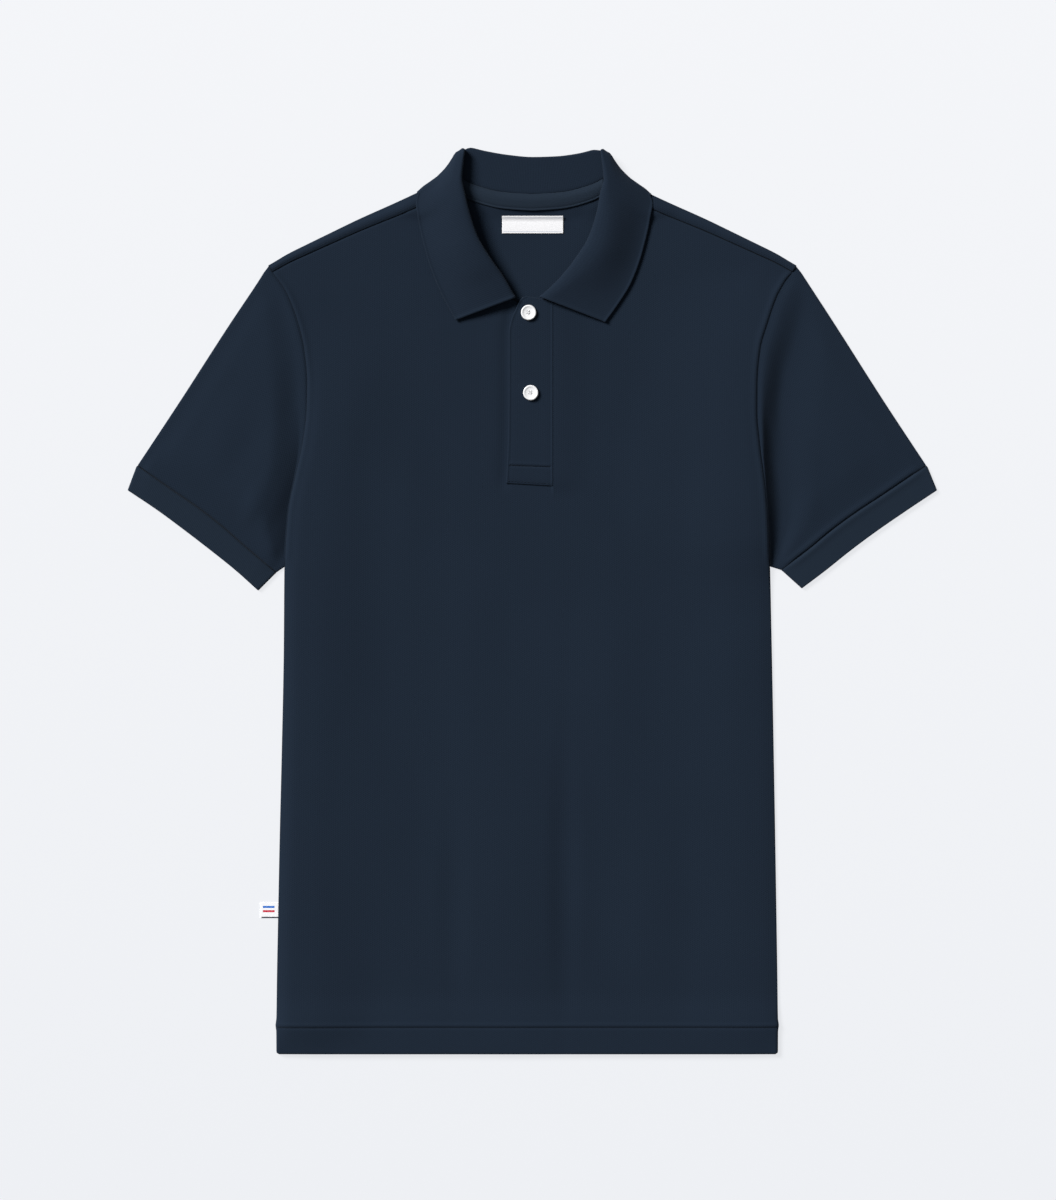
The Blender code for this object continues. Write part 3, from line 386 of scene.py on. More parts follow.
def smooth(keys, values, at):
    """Smooth curves through a table of values, which never overshoot it."""
    keys = np.asarray(keys, float)
    values = np.asarray(values, float)
    single = values.ndim == 1
    if single:
        values = values[:, None]
    rate = np.diff(values, axis=0) / np.diff(keys)[:, None]
    product = rate[:-1] * rate[1:]
    total = rate[:-1] + rate[1:]
    total[total == 0] = 1
    slope = np.concatenate([rate[:1], np.where(product > 0, 2 * product / total, 0), rate[-1:]])
    at = np.clip(np.asarray(at, float), keys[0], keys[-1])
    row = np.clip(np.searchsorted(keys, at, side="right") - 1, 0, len(keys) - 2)
    span = (keys[row + 1] - keys[row])[..., None]
    step = (at - keys[row])[..., None] / span
    found = (values[row] * (1 + 2 * step) * (1 - step) ** 2
             + slope[row] * span * step * (1 - step) ** 2
             + values[row + 1] * step ** 2 * (3 - 2 * step)
             - slope[row + 1] * span * step ** 2 * (1 - step))
    return found[..., 0] if single else found


def columns_at(table, at):
    """The columns of a table, each at places along its first one."""
    return np.moveaxis(smooth(table[:, 0], table[:, 1:], at), -1, 0)


def fractions(points):
    """How far along a line of points each of them is, from 0 to 1."""
    steps = np.linalg.norm(np.diff(np.asarray(points, float), axis=0), axis=1)
    lengths = np.concatenate([[0], np.cumsum(steps)])
    return lengths / lengths[-1]


def along_line(points, at):
    return smooth(fractions(points), points, at)


def ease(value):
    value = np.clip(value, 0, 1)
    return value * value * (3 - 2 * value)


def hooked(value, hook):
    """From 0 to 1, as ease where hook is 0, and steepest at its start where hook is 1."""
    steep = 1 - (1 - np.clip(value, 0, 1)) ** HOOK_POWER
    return (1 - hook) * ease(value) + hook * steep


def window(value, start, end, rise, fall=None):
    """Up to 1 over a rise after the start, and down to 0 over a fall before the end."""
    return ease((value - start) / rise) * ease((end - value) / (fall or rise))


def relief(distance, ridges):
    """Ridges, and grooves where their rise is below 0, at a distance from their line."""
    return sum(rise * np.exp(-((distance - at) / width) ** 2) for at, width, rise in ridges)


def folds_rise(folds, x, height):
    rise = np.zeros(np.broadcast(x, height).shape)
    for middle_x, middle_h, half_wide, half_long, lean, amount in folds:
        across = x - middle_x
        up = height - middle_h
        wide = (across * math.cos(lean) - up * math.sin(lean)) / half_wide
        long = (across * math.sin(lean) + up * math.cos(lean)) / half_long
        rise += amount * np.cos(0.5 * np.pi * np.minimum(np.hypot(wide, long), 1)) ** 2
    return rise


def outline(height, side):
    """The body's left or right edge."""
    return smooth(OUTLINE[:, 0], OUTLINE[:, 1 if side == LEFT else 2], height)


def inside(x, height):
    """How far a place is inside the body's outline."""
    left, right = columns_at(OUTLINE, height)
    return np.minimum(x - left, right - x)


def shoulder_distance(x, height):
    """How far a place is in front of the shoulder seam."""
    run = SHOULDER_END[0] - SEAM_AT_NECK[0]
    drop = SEAM_AT_NECK[1] - SHOULDER_END[1]
    ahead = (SHOULDER_END[0] - np.abs(x)) * drop - (height - SHOULDER_END[1]) * run
    return ahead / math.hypot(run, drop)


def back_level(x, height):
    """Middle of the back panel: on the surface, and over the collar's fall at the neck."""
    top = FALL_EDGE + CLIMB_RISE * x * x - CLIMB_CLEAR
    climb = ease((height - top + CLIMB_LENGTH) / CLIMB_LENGTH)
    climb = climb * ease((CLIMB_OUTER - np.abs(x)) / CLIMB_FADE)
    return 0.5 * CLOTH + climb * (RIB + SEAM_GAP)


def over_back(x, height):
    return back_level(x, height + CLIMB_LEAD)


def front_base(x, height):
    """The front's level without what the placket does to it."""
    edge = np.maximum(inside(x, height), 0)
    loose = ease(edge / SIDE_LOOSE)
    level = over_back(x, height) + LAYER
    level += FRONT_LOOSE * loose * ease((SEAM_AT_NECK[1] - height) / (2 * SIDE_LOOSE))
    level += ARMHOLE_LOOSE * (1 - loose) * window(height, UNDERARM, SHOULDER_END[1], SIDE_LOOSE)
    level += 2 * LAYER * ease((HEM_DEPTH + HEM_SLOPE - height) / HEM_SLOPE)
    level += loose * folds_rise(FRONT_FOLDS, x, height)

    full = 1 - (1 - np.minimum(edge / SIDE_FULL_WIDTH, 1)) ** 2
    full = full * (1 - ease((edge - SIDE_LOOSE) / SIDE_FULL_FADE)) * np.where(x < 0, *SIDE_FULL)
    top, fade = SIDE_FULL_TOP
    level += full * window(height, 0, top, HEM_SLOPE, fade)

    rise = np.where(x < 0, *columns_at(ARMHOLE_RISE, height))
    level += rise * (1 - ease(edge / ARMHOLE_RISE_WIDTH))
    level += window(height, *ARMHOLE_REACH) * relief(edge, ARMHOLE_SEAM)
    level += relief(np.maximum(shoulder_distance(x, height), 0), SHOULDER_SEAM)
    return level + relief(height - HEM_DEPTH, HEM_SEAM)


def front_level(x, height):
    """Middle of the front panel before its sides turn down to the side seams."""
    left = smooth(PLACKET_ROWS[:5, 1], PLACKET_ROWS[:5, 0], height)
    up, down = (ease((x - PLACKET_RIGHT - start) / width) for start, width in (STEP_UP, STEP_DOWN))
    beside = PLACKET_STEP * up * (1 - down) + relief(x - left, PLACKET_DIP)
    return front_base(x, height) + window(height, *PLACKET_REACH) * beside


def side_turn(x, height):
    """Heights of the front and of the back where both sides turn to meet at the side seam."""
    front = front_level(x, height)
    back = back_level(x, height)
    edge = np.maximum(inside(x, height), 0)
    reach = 0.5 * (front - back)
    turned = 1 - rounded(edge, reach)
    turned = turned * ease((UNDERARM + SIDE_OPEN - height) / (2 * SIDE_OPEN)) * (reach - JOIN)
    return front - turned, back + turned


def front_z(x, height):
    return side_turn(x, height)[0]


def back_z(x, height):
    return side_turn(x, height)[1]


def strip_z(x, height):
    """Middle of the back panel's strip in front of the shoulder fold."""
    behind = -shoulder_distance(x, height)
    return front_level(x, height) + SEAM_PRESS + relief(behind, SHOULDER_STRIP)


def placket_z(x, height):
    """Middle of the top placket, lying on the front panel."""
    return front_base(x, height) + 0.5 * CLOTH + PLACKET_LIFT + 0.5 * PLACKET_WALL


def place(x, height, z):
    """A point of the shirt in its frame, with the soft bow of the shoulder lines."""
    x, height, z = np.broadcast_arrays(x, height, z)
    start, fade = BOW_UP
    bow = SHOULDER_BOW * window(np.abs(x), *BOW_ACROSS) * ease((height - start) / fade)
    return np.stack([x, height + bow - 0.5 * LENGTH, z], axis=-1)


def laid(spots, z_at):
    """Points for rows of x and height, at the level that z_at gives for them."""
    return place(*spots.T, z_at(*spots.T))


# ---------------------------------------------------------------- making pieces

def lengths_of(ways):
    return np.maximum(np.linalg.norm(ways, axis=-1, keepdims=True), 1e-9)


def bisector(grid, axis, ring):
    """The direction of a grid's lines at each of its points."""
    lines = np.moveaxis(grid, axis, 0)
    ways = np.roll(lines, -1, axis=0) - lines
    ways /= lengths_of(ways)
    before = np.roll(ways, 1, axis=0)
    if not ring:
        ways[-1] = before[-1]
        before[0] = ways[0]
    found = ways + before
    return np.moveaxis(found / lengths_of(found), 0, axis)


def edge_depth(points, free):
    """How far each point of a sheet is from its free edges."""
    tree = kdtree.KDTree(int(free.sum()))
    for number, point in enumerate(points[free]):
        tree.insert(Vector(point), number)
    tree.balance()
    return np.array([tree.find(Vector(point))[2] for point in points])


def rounded(depth, radius):
    """How thick a sheet is at a depth in from its rounded edge, from 0 to 1."""
    depth = np.minimum(depth / radius, 1)
    return np.sqrt(np.maximum(1 - (1 - depth) ** 2, 0))


def new_item(name, data):
    item = bpy.data.objects.new(name, data)
    bpy.context.scene.collection.objects.link(item)
    return item


def new_mesh(name, corners, edges, faces):
    mesh = bpy.data.meshes.new(name)
    mesh.from_pydata((corners * MM).tolist(), edges, faces)
    return mesh


def evaluated_mesh(item):
    graph = bpy.context.evaluated_depsgraph_get()
    return bpy.data.meshes.new_from_object(item.evaluated_get(graph), depsgraph=graph)


def finish_piece(mesh, name, material, nodes):
    mesh.materials.clear()
    mesh.materials.append(material)
    mesh.shade_smooth()
    piece = new_item(name, mesh)
    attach(piece, BODY)
    if nodes:
        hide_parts(*nodes)
    return piece


def shell(name, nodes, material, wall, grid, knit, skip=None, ring=False, thicker=1,
          from_seam=None):
    """A closed skin round a sheet's middle surface, with rounded free edges.

    knit gives the cloth's own coordinates at each point, and from_seam how far it is from the
    nearest sewn edge, in millimetres. from_seam is ALL_EDGES where every free edge is sewn.
    """
    rows, columns = grid.shape[:2]
    kept = np.ones((rows - 1, columns if ring else columns - 1), bool)
    if skip is not None:
        kept &= ~skip
    row, column = np.nonzero(kept)
    beside = (column + 1) % columns
    low, high = row * columns, (row + 1) * columns
    quads = np.stack([low + column, low + beside, high + beside, high + column], axis=1)
    count = np.bincount(quads.ravel(), minlength=rows * columns)
    used = count > 0
    free = used & (count < 4)
    inner = used & ~free

    normal = np.cross(bisector(grid, 1, ring), bisector(grid, 0, False))
    normal = (normal / lengths_of(normal)).reshape(-1, 3)
    points = grid.reshape(-1, 3)
    depth = np.zeros(rows * columns)
    depth[used] = edge_depth(points[used], free[used])
    if from_seam is ALL_EDGES:
        from_seam = depth
    elif from_seam is None:
        from_seam = np.full(rows * columns, UNSEWN)
    from_seam = np.asarray(from_seam, float).ravel()
    half = 0.5 * wall * rounded(depth, 0.5 * wall) * np.ravel(thicker)
    offset = normal * half[:, None]
    top = np.full(rows * columns, -1)
    top[used] = np.arange(used.sum())
    bottom = top.copy()
    bottom[inner] = used.sum() + np.arange(inner.sum())
    faces = np.concatenate([top[quads], bottom[quads[:, ::-1]]])

    mesh = new_mesh(name, np.concatenate([(points + offset)[used], (points - offset)[inner]]),
                    [], faces.tolist())
    flat = np.asarray(knit, float).reshape(-1, 2)
    flat = np.concatenate([flat[used], flat[inner]]) * MM
    layer = mesh.uv_layers.new(name="knit")
    layer.data.foreach_set("uv", flat[faces.ravel()].ravel())
    seam = mesh.attributes.new("from_seam", "FLOAT", "POINT")
    seam.data.foreach_set("value", np.concatenate([from_seam[used], from_seam[inner]]))
    return finish_piece(mesh, name, material, nodes)


def spaced(length, step, start=len(EDGE_STEPS), end=len(EDGE_STEPS)):
    """Distances along a length: even between its ends, which have this many fine steps."""
    near, far = ([inset for inset in EDGE_STEPS[:count] if inset < 0.4 * length]
                 for count in (start, end))
    count = max(int(round((length - far[-1] - near[-1]) / step)), 1)
    middle = np.linspace(near[-1], length - far[-1], count + 1)[1:-1]
    return np.concatenate([near, middle, length - np.array(far[::-1])])


# ---------------------------------------------------------------- the body

def half_columns(side, outer, inner, neck, upright=()):
    """Columns of half a panel, from the outline to the middle: top x, top height and hem x."""
    hem = abs(outline(0, side))
    insets = np.array(EDGE_STEPS)
    top_x, hem_x = (
        np.concatenate([far - insets, np.linspace(far - insets[-1], near,
                                                  SHOULDER_COLUMNS + 1)[1:]])
        for far, near in ((outer[0], inner[0]), (hem, NECK_HEM)))
    top_h = outer[1] + (outer[0] - top_x) / (outer[0] - inner[0]) * (inner[1] - outer[1])
    curve = along_line(neck, np.linspace(0, 1, 600))
    last = int(np.argmax(curve[:, 0] < upright[0])) if upright else len(curve) - 1
    steps = np.linspace(0, last, NECK_COLUMNS + 1)[1:]
    line_x, line_h = (np.interp(steps, np.arange(len(curve)), values) for values in curve.T)
    neck_hem = np.linspace(NECK_HEM, line_x[-1], NECK_COLUMNS + 1)[1:]
    more_x = np.array(upright[1:] + (neck[-1][0],) if upright else ())
    more_h = np.interp(-more_x, -curve[last:, 0], curve[last:, 1])
    columns = np.stack([np.concatenate([top_x, line_x, more_x]),
                        np.concatenate([top_h, line_h, more_h]),
                        np.concatenate([hem_x, neck_hem, more_x])], axis=1)
    return columns * (side, 1, side)


def panel(columns, top, z_at, level_at, step):
    """A body panel between its outline and top line, and its hem turned up inside.

    step is -1 where the hem turns under the panel, and 1 where it turns over it.
    """
    rest = spaced(top - PANEL_ROWS[-1], PANEL_STEP, 1)[1:] + PANEL_ROWS[-1]
    height = np.concatenate([PANEL_ROWS, rest])[:, None]
    top_x, top_h, hem_x = columns.T
    up = height / top
    right = top_x > 0
    edge_hem = np.where(right, OUTLINE[0, 2], OUTLINE[0, 1])
    edge_top = np.where(right, top_x[-1], top_x[0])
    edge = np.where(right, outline(height, RIGHT), outline(height, LEFT))
    share = (np.abs(top_x) - NECK_TIP[0]) / (np.abs(edge_top) - NECK_TIP[0])
    x = hem_x + up * (top_x - hem_x)
    x = x + np.clip(share, 0, 1) * (edge - edge_hem - up * (edge_top - edge_hem))
    y = height + np.maximum((height - LEVEL_TO) / (top - LEVEL_TO), 0) * (top_h - top)

    level = level_at(x[0], 0)
    middle = 0.5 * (OUTLINE[0, 1] + OUTLINE[0, 2])
    hem = [(HEM_NARROW, row, LAYER) for row in HEM_ROWS]
    for angle in FOLD_ARC:
        turn = math.radians(angle)
        hem.append((HEM_NARROW + (1 - HEM_NARROW) * (angle + 90) / 180,
                    FOLD_IN - TURN * math.cos(turn), 0.5 * LAYER * (1 - math.sin(turn))))
    rows = [place(middle + (x[0] - middle) * narrow, row, level + step * lift)
            for narrow, row, lift in hem]
    return np.concatenate([np.stack(rows), place(x, y, z_at(x, y))])


def make_front(material):
    left, right = (
        half_columns(side, SHOULDER_END, SEAM_AT_NECK, FRONT_NECKLINE + ((abs(edge), FRONT_NECK),),
                     PLACKET_COLUMNS) for side, edge in zip((LEFT, RIGHT), SLOT))
    slot_x = np.linspace(*SLOT, 8)[1:-1]
    slot = np.stack([slot_x, np.full(len(slot_x), FRONT_NECK), slot_x], axis=1)
    columns = np.concatenate([left, slot, right[::-1]])
    columns[:, 1] -= np.where(np.abs(columns[:, 0]) > SEAM_AT_NECK[0] + 0.05, JOIN, 0)
    grid = panel(columns, SHOULDER_END[1] - JOIN, front_z, front_level, -1)
    first = len(left) - 1
    number = np.arange(grid.shape[1] - 1)
    in_slot = (number >= first) & (number <= first + len(slot_x))
    high = grid[:-1, first, 1] + 0.5 * LENGTH > SLOT_BOTTOM
    return shell("front", ["front_panel"], material, CLOTH, grid, grid[..., :2],
                 skip=high[:, None] & in_slot, from_seam=ALL_EDGES)


def make_back(material):
    """The back panel, whose shoulders turn over to the front and end at the shoulder seam."""
    left, right = (half_columns(side, SHOULDER_TIP, NECK_TIP, BACK_NECKLINE)
                   for side in (LEFT, RIGHT))
    columns = np.concatenate([left, right[-2::-1]])
    number = np.arange(len(columns))
    steps = len(EDGE_STEPS) + SHOULDER_COLUMNS
    shoulder = (number < steps) | (number >= len(columns) - steps)
    fold = columns[:, :2].copy()
    share = (SHOULDER_TIP[0] - np.abs(fold[:, :1])) / (SHOULDER_TIP[0] - NECK_TIP[0])
    seam = SHOULDER_END + np.clip(share, 0, 1) * np.subtract(SEAM_AT_NECK, SHOULDER_END)
    seam[:, 0] *= np.where(fold[:, 0] < 0, -1, 1)
    way = seam - fold
    wide = lengths_of(way)
    way /= wide
    columns[:, :2] += np.where(shoulder, FOLD_IN, 0)[:, None] * way
    grid = panel(columns, columns[0, 1], back_z, back_level, 1)

    spots = fold + FOLD_IN * way
    under = back_level(*spots.T)
    over = front_level(*spots.T)
    rows = []
    for angle in np.radians(FOLD_ARC + (90,)):
        spots = fold + (FOLD_IN - TURN * math.cos(angle)) * way
        lift = 0.5 * (1 + math.sin(angle))
        rows.append(place(*spots.T, under + lift * (over - under)))
    rows += [laid(fold + (FOLD_IN + down * (wide - FOLD_IN)) * way, strip_z)
             for down in STRIP_ROWS]
    skip = np.zeros((len(grid) + len(rows) - 1, len(columns) - 1), bool)
    skip[len(grid) - 1:] = ~(shoulder[:-1] & shoulder[1:])
    grid = np.concatenate([grid, np.stack(rows)])
    return shell("back", ["back_panel"], material, CLOTH, grid, grid[..., :2],
                 skip=skip, from_seam=ALL_EDGES)


# ---------------------------------------------------------------- sleeves and cuffs

def right_ways(points):
    ways = np.diff(np.asarray(points, float), axis=0)
    ways /= lengths_of(ways)
    return np.stack([ways[:, 1], -ways[:, 0]], axis=1)


def moved(points, amount):
    """A line of points moved to the right of its direction, with mitred corners."""
    ways = right_ways(points)
    before = np.concatenate([ways[:1], ways])
    after = np.concatenate([ways, ways[-1:]])
    reach = amount / (1 + (before * after).sum(axis=1))
    return np.asarray(points, float) + reach[:, None] * (before + after)


def patch(first, last, upper, lower, along, across):
    """Places across a patch between four smooth edges, at one share along it."""
    across = np.asarray(across)
    down = across[:, None]
    edges = (1 - along) * along_line(first, across) + along * along_line(last, across)
    edges = edges + (1 - down) * along_line(upper, along) + down * along_line(lower, along)
    ends = (1 - along) * ((1 - down) * first[0] + down * first[-1])
    return edges - ends - along * ((1 - down) * last[0] + down * last[-1])


def tube(first, last, upper, step, wall, top_z, shift=None):
    """A flat tube of cloth: rings over the upper layer and back along the lower one."""
    edges = [np.asarray(line, float) for line in (first, last, upper, (first[-1], last[-1]))]
    turn = 0.5 * (wall + SEAM_GAP)
    even = np.linspace(0, 1, TUBE_COLUMNS)
    over = TUBE_CLOSER * (0.5 - 0.5 * np.cos(np.pi * even)) + (1 - TUBE_CLOSER) * even
    longest = np.linalg.norm(along_line(first, over) - along_line(last, over), axis=1).max()
    arc = np.radians(FOLD_ARC)
    lift = 0.5 * (1 - np.sin(arc))
    low = 0.5 * wall
    rows = []
    flat = []
    for along in spaced(longest, step) / longest:
        start, end = patch(*edges, along, (0, 1))
        width = np.linalg.norm(end - start)
        tangent = (low + turn) / width
        inner = tangent + over * (1 - 2 * tangent)
        in_by = (low + turn - turn * np.cos(arc)) / width
        across = np.concatenate([inner, 1 - in_by, inner[::-1], in_by])
        spots = patch(*edges, along, across)
        if shift is not None:
            spots = spots + shift(along, across)
        high = top_z(along, inner, spots[:TUBE_COLUMNS])
        z = np.concatenate([high, low + (high[-1] - low) * lift, np.full(TUBE_COLUMNS, low),
                            low + (high[0] - low) * lift[::-1]])
        rows.append(place(*spots.T, z))
        flat.append(spots)
    return np.stack(rows), np.stack(flat)


def grain(spots, start, end):
    """The cloth's coordinates, with its length along a line from one place to another."""
    way = np.subtract(end, start) / np.linalg.norm(np.subtract(end, start))
    from_start = spots - start
    return np.stack([from_start @ np.array((way[1], -way[0])), from_start @ way], axis=-1)


def loose_across(across, spots, spread):
    """How far a tube's upper layer has come up from its two folds, from 0 to 1."""
    width = np.linalg.norm(spots[-1] - spots[0])
    return ease(np.minimum(across, 1 - across) * width / min(spread, 0.3 * width))


def make_sleeve(name, shape, material):
    side = shape["side"]
    rows = OUTLINE[OUTLINE[:, 0] >= UNDERARM][::-1]
    first = moved(rows[:, [1 if side == LEFT else 2, 0]], -side * JOIN)
    last = moved(shape["seam"], side * JOIN)
    upper = [first[0], *shape["upper"], last[0]]
    profile = np.array(shape["profile"])
    fold = 0.5 * CLOTH + LAYER

    def reach_of(across):
        return np.linalg.norm(along_line(first, across) - along_line(last, across), axis=1)

    def to_outline(along, across):
        """Brings the sleeve's edge onto the body's outline."""
        x, height = along_line(first, across).T
        lap = ARMHOLE_LAP[0] + ARMHOLE_LAP[1] * (1 - ease(across / LAP_TIP))
        apart = outline(height, side) - side * lap - x
        fade = 1 - ease(along * reach_of(across) / LAP_FADE)
        return np.stack([apart * fade, np.zeros(len(across))], axis=1)

    def sleeve_z(along, across, spots):
        height = along_line(first, across)[:, 1]
        reach = reach_of(across)
        d = along * reach
        seam = front_level(outline(height, side), height)
        ridge_d, ridge_z, fold_d, fold_z, full_d, full_z, hook = columns_at(profile, across)
        ridge_d, fold_d, full_d = (np.minimum(distance, limit * reach) for distance, limit in
                                   zip((ridge_d, fold_d, full_d), PROFILE_LIMITS))
        level = seam + (ridge_z - seam) * ease(d / ridge_d)
        level += (fold_z - ridge_z) * hooked((d - ridge_d) / (fold_d - ridge_d),
                                             hook * shape["hooks"][0])
        level += (full_z - fold_z) * hooked((d - fold_d) / (full_d - fold_d),
                                            hook * shape["hooks"][1])
        level += folds_rise(shape["folds"], *spots.T) * ease((d - SLEEVE_FLAT) / SLEEVE_FOLDS_FADE)
        loose = loose_across(across, spots, FOLD_SPREAD)
        level = fold + (level - fold) * np.maximum(loose, 1 - ease(d / SLEEVE_FLAT))
        to_cuff = reach - d
        near_cuff = ease(1 - to_cuff / np.minimum(SLEEVE_SLOPE, 0.5 * reach))
        cuff = fold + (SLEEVE_AT_CUFF - fold) * ease(loose * 2)
        level = level + (cuff - level) * near_cuff
        return level + loose * relief(to_cuff, SLEEVE_END)

    grid, flat = tube(first, last, upper, SLEEVE_STEP, CLOTH, sleeve_z, to_outline)
    piece = shell("sleeve_" + name + "_cloth", ["sleeve_" + name], material, CLOTH,
                  grid, grain(flat, last[3], first[4]), ring=True, from_seam=ALL_EDGES)
    return piece, grid[-1]


def make_cuff(name, shape, material, sleeve_end):
    """The rib band, which stands out a little from the sleeve's upper fold."""
    side = shape["side"]
    first = moved(shape["seam"], -side * JOIN)
    first[0, 0] += CUFF_OUT * side
    last = moved(shape["edge"], -side * shape["cuff_drop"])
    last[0] = shape["edge"][0]

    def cuff_z(along, across, spots):
        width = np.linalg.norm(spots[-1] - spots[0])
        loose = ease(np.minimum(across, 1 - across) * width / CUFF_SPREAD)
        level = 1.5 * RIB + SEAM_GAP + CUFF_LOOSE * loose * (1 - 0.5 * along)
        return level + loose * relief(along * CUFF_DEPTH, CUFF_SEAM)

    grid, flat = tube(first, last, (first[0], last[0]), CUFF_STEP, RIB, cuff_z)
    from_seam = np.linalg.norm(grid - grid[:1], axis=2)
    grid = grid + (sleeve_end - grid[:1]) * (1 - ease(from_seam / CUFF_BLEND))[..., None]
    grid[..., 2] = np.maximum(grid[..., 2], 0.5 * RIB * rounded(from_seam, 0.5 * RIB))
    return shell("cuff_" + name + "_rib", ["cuff_" + name], material, RIB, grid,
                 grain(flat, last[3], first[3]), ring=True, from_seam=from_seam)


# ---------------------------------------------------------------- collar

UP = np.array((0, 0, 1))
LEVEL = np.array((1, 1, 0))         # times a way, its level part


def unit(way):
    return way / max(float(np.linalg.norm(way)), 1e-9)


def stand_edge(seams):
    """The stand's lower edge beside the neck seam, round the tip to the middle of the back."""
    back = [NECK_TIP] + [row[0] for row in COLLAR_BACK]
    back.append((-back[-2][0], back[-2][1]))
    one = right_ways((NECK_TIP, seams[-1]))[0]
    two = right_ways((NECK_TIP, back[1]))[0]
    tip = np.array(NECK_TIP) + STAND_GAP / (1 + one @ two) * (one + two)
    return np.concatenate([moved(seams + [NECK_TIP], -STAND_GAP)[:-1], [tip],
                           moved(back, STAND_GAP)[1:-1]])


def section(base, fold, edge, normal, stand_way, leaf_way, stand_roll, roll, rise, crown=0,
            settle=0, outward=None):
    """Points of a section: up the stand, round the top fold and down the fall."""
    stand_end = fold + stand_roll * (stand_way - normal)
    points = [base + (stand_end - base) * share
              for share in np.linspace(0, 1, STAND_STEPS)[:-1]]
    for angle in np.radians(np.linspace(90, 0, STAND_TURN_STEPS)):
        points.append(fold + stand_roll * (stand_way * (1 - math.cos(angle))
                                           - normal * math.sin(angle)))
    for angle in np.radians(np.linspace(0, 90, ROLL_STEPS + 1)[1:]):
        points.append(fold + leaf_way * roll * (1 - math.cos(angle))
                      + normal * rise * math.sin(angle))
    crest = points[-1]
    reach = float(np.linalg.norm(edge - crest))
    for step in spaced(reach, reach / LEAF_STEPS, 1, 9)[1:] / reach:
        bow = crown * math.sin(math.pi * step)
        bow += settle * (crest[2] - edge[2]) * (step - float(ease(step)))
        point = crest + (edge - crest) * step + UP * bow
        if outward is not None:
            point = point + outward * float(smooth(*np.array(TURN_BOW).T, step))
        points.append(point)
    return points


def flat_section(base, fold, edge, normal, roll, outward=None):
    back = unit(0.5 * (base + edge) - fold)
    normal = unit(normal - normal.dot(back) * back)
    return section(base, fold, edge, normal, back, back, roll, roll, roll, outward=outward)


def collar_half(shape):
    """Sections from the end of a leaf over the front, round the side and to the back's middle."""
    side = shape["side"]
    seams = [shape["start"], *FRONT_NECKLINE[::-1]]
    bases = stand_edge(seams)

    def spot(x, height, z):
        return place(side * x, height, z)

    def on_front(x, height):
        return float(front_z(side * x, height))

    def leaf_edge(x, height, rest=LEAF_REST):
        level = max(on_front(x, height), on_front(x, height + CLIMB_LEAD))
        return x, height, level + 0.5 * CLOTH + rest + 0.5 * RIB

    sections = []
    for base, seam, row in zip(bases, seams, shape["front"]):
        roll, rise, rest, settle = row[5:]
        base = spot(*base, on_front(*seam))
        fold = spot(*row[:3])
        edge = spot(*leaf_edge(*row[3:5], rest))
        sections.append(section(base, fold, edge, UP, unit((base - fold) * LEVEL),
                                unit((edge - fold) * LEVEL), STAND_ROLL, roll, rise,
                                shape["crown"], settle))

    fold_x, fold_h, fold_z, edge_x, edge_h = shape["turn"]
    outward = unit(np.array((side * (fold_h - edge_h), edge_x - fold_x, 0)))
    spots = ((*bases[len(seams)], on_front(*NECK_TIP), STAND_UNDER_Z),
             (fold_x, fold_h, fold_z, FOLD_UNDER_Z),
             (*leaf_edge(edge_x, edge_h), 0.5 * RIB))
    for angle in np.radians(TURN_ANGLES):
        lift, out = math.sin(angle), math.cos(angle)
        ring = []
        for (x, height, over, under), inset in zip(spots, TURN_INSET):
            half = 0.5 * (over - under)
            ring.append(spot(x, height, under + half * (1 + lift))
                        - outward * inset * half * (1 - out))
        roll = BACK_ROLL + (STAND_ROLL - BACK_ROLL) * 0.5 * (1 + lift)
        sections.append(flat_section(*ring, lift * UP + out * outward, roll, outward))

    for base, (_, fold_x, edge), fold_h in zip(bases[len(seams) + 1:], COLLAR_BACK,
                                               shape["back_folds"]):
        sections.append(flat_section(spot(*base, STAND_UNDER_Z),
                                     spot(fold_x, fold_h, FOLD_UNDER_Z),
                                     spot(*edge, 0.5 * RIB), -UP, BACK_ROLL))
    return sections


def resampled(points, count):
    """Sections keep the same number of points: the fall's spare ones come out of its middle."""
    start = STAND_STEPS + STAND_TURN_STEPS + ROLL_STEPS + 3
    return points[:start] + points[start + len(points) - count:]


def make_collar(material):
    sections = collar_half(COLLAR["left"]) + collar_half(COLLAR["right"])[-2::-1]
    shortest = min(len(points) for points in sections)
    sections = np.array([resampled(points, shortest) for points in sections])
    last = len(sections) - 1
    steps = np.linalg.norm(np.diff(sections[:, COLLAR_FOLD_AT], axis=0), axis=1)
    counts = np.maximum(np.round(steps / COLLAR_STEP).astype(int), 3)
    middle = np.concatenate([number + np.arange(count) / count
                             for number, count in enumerate(counts)])
    start = COLLAR_ENDS[-1] + COLLAR_END_GAP
    middle = middle[(middle > start) & (middle < last - start)]
    at = np.concatenate([COLLAR_ENDS, middle, last - COLLAR_ENDS[::-1]])
    grid = smooth(np.arange(last + 1), sections.reshape(last + 1, -1), at)
    grid = grid.reshape(len(at), -1, 3)

    line = 0.5 * (grid[:, 0] + grid[:, COLLAR_FOLD_AT])
    around = np.concatenate([[0], np.cumsum(np.linalg.norm(np.diff(line, axis=0), axis=1))])
    up = np.linalg.norm(np.diff(grid, axis=1), axis=2).mean(axis=0)
    up = np.concatenate([[0], np.cumsum(up)])
    from_end = np.minimum(around, around[-1] - around)
    thicker = (1 + relief(up[-1] - up, COLLAR_EDGE)
               + relief(from_end, COLLAR_END)[:, None])
    grid[..., 2] += 0.5 * RIB * (thicker - 1)
    knit = np.stack(np.broadcast_arrays(around, up[:, None]), axis=-1)
    return shell("collar_rib", ["collar"], material, RIB, grid.transpose(1, 0, 2),
                 knit, thicker=thicker.T)


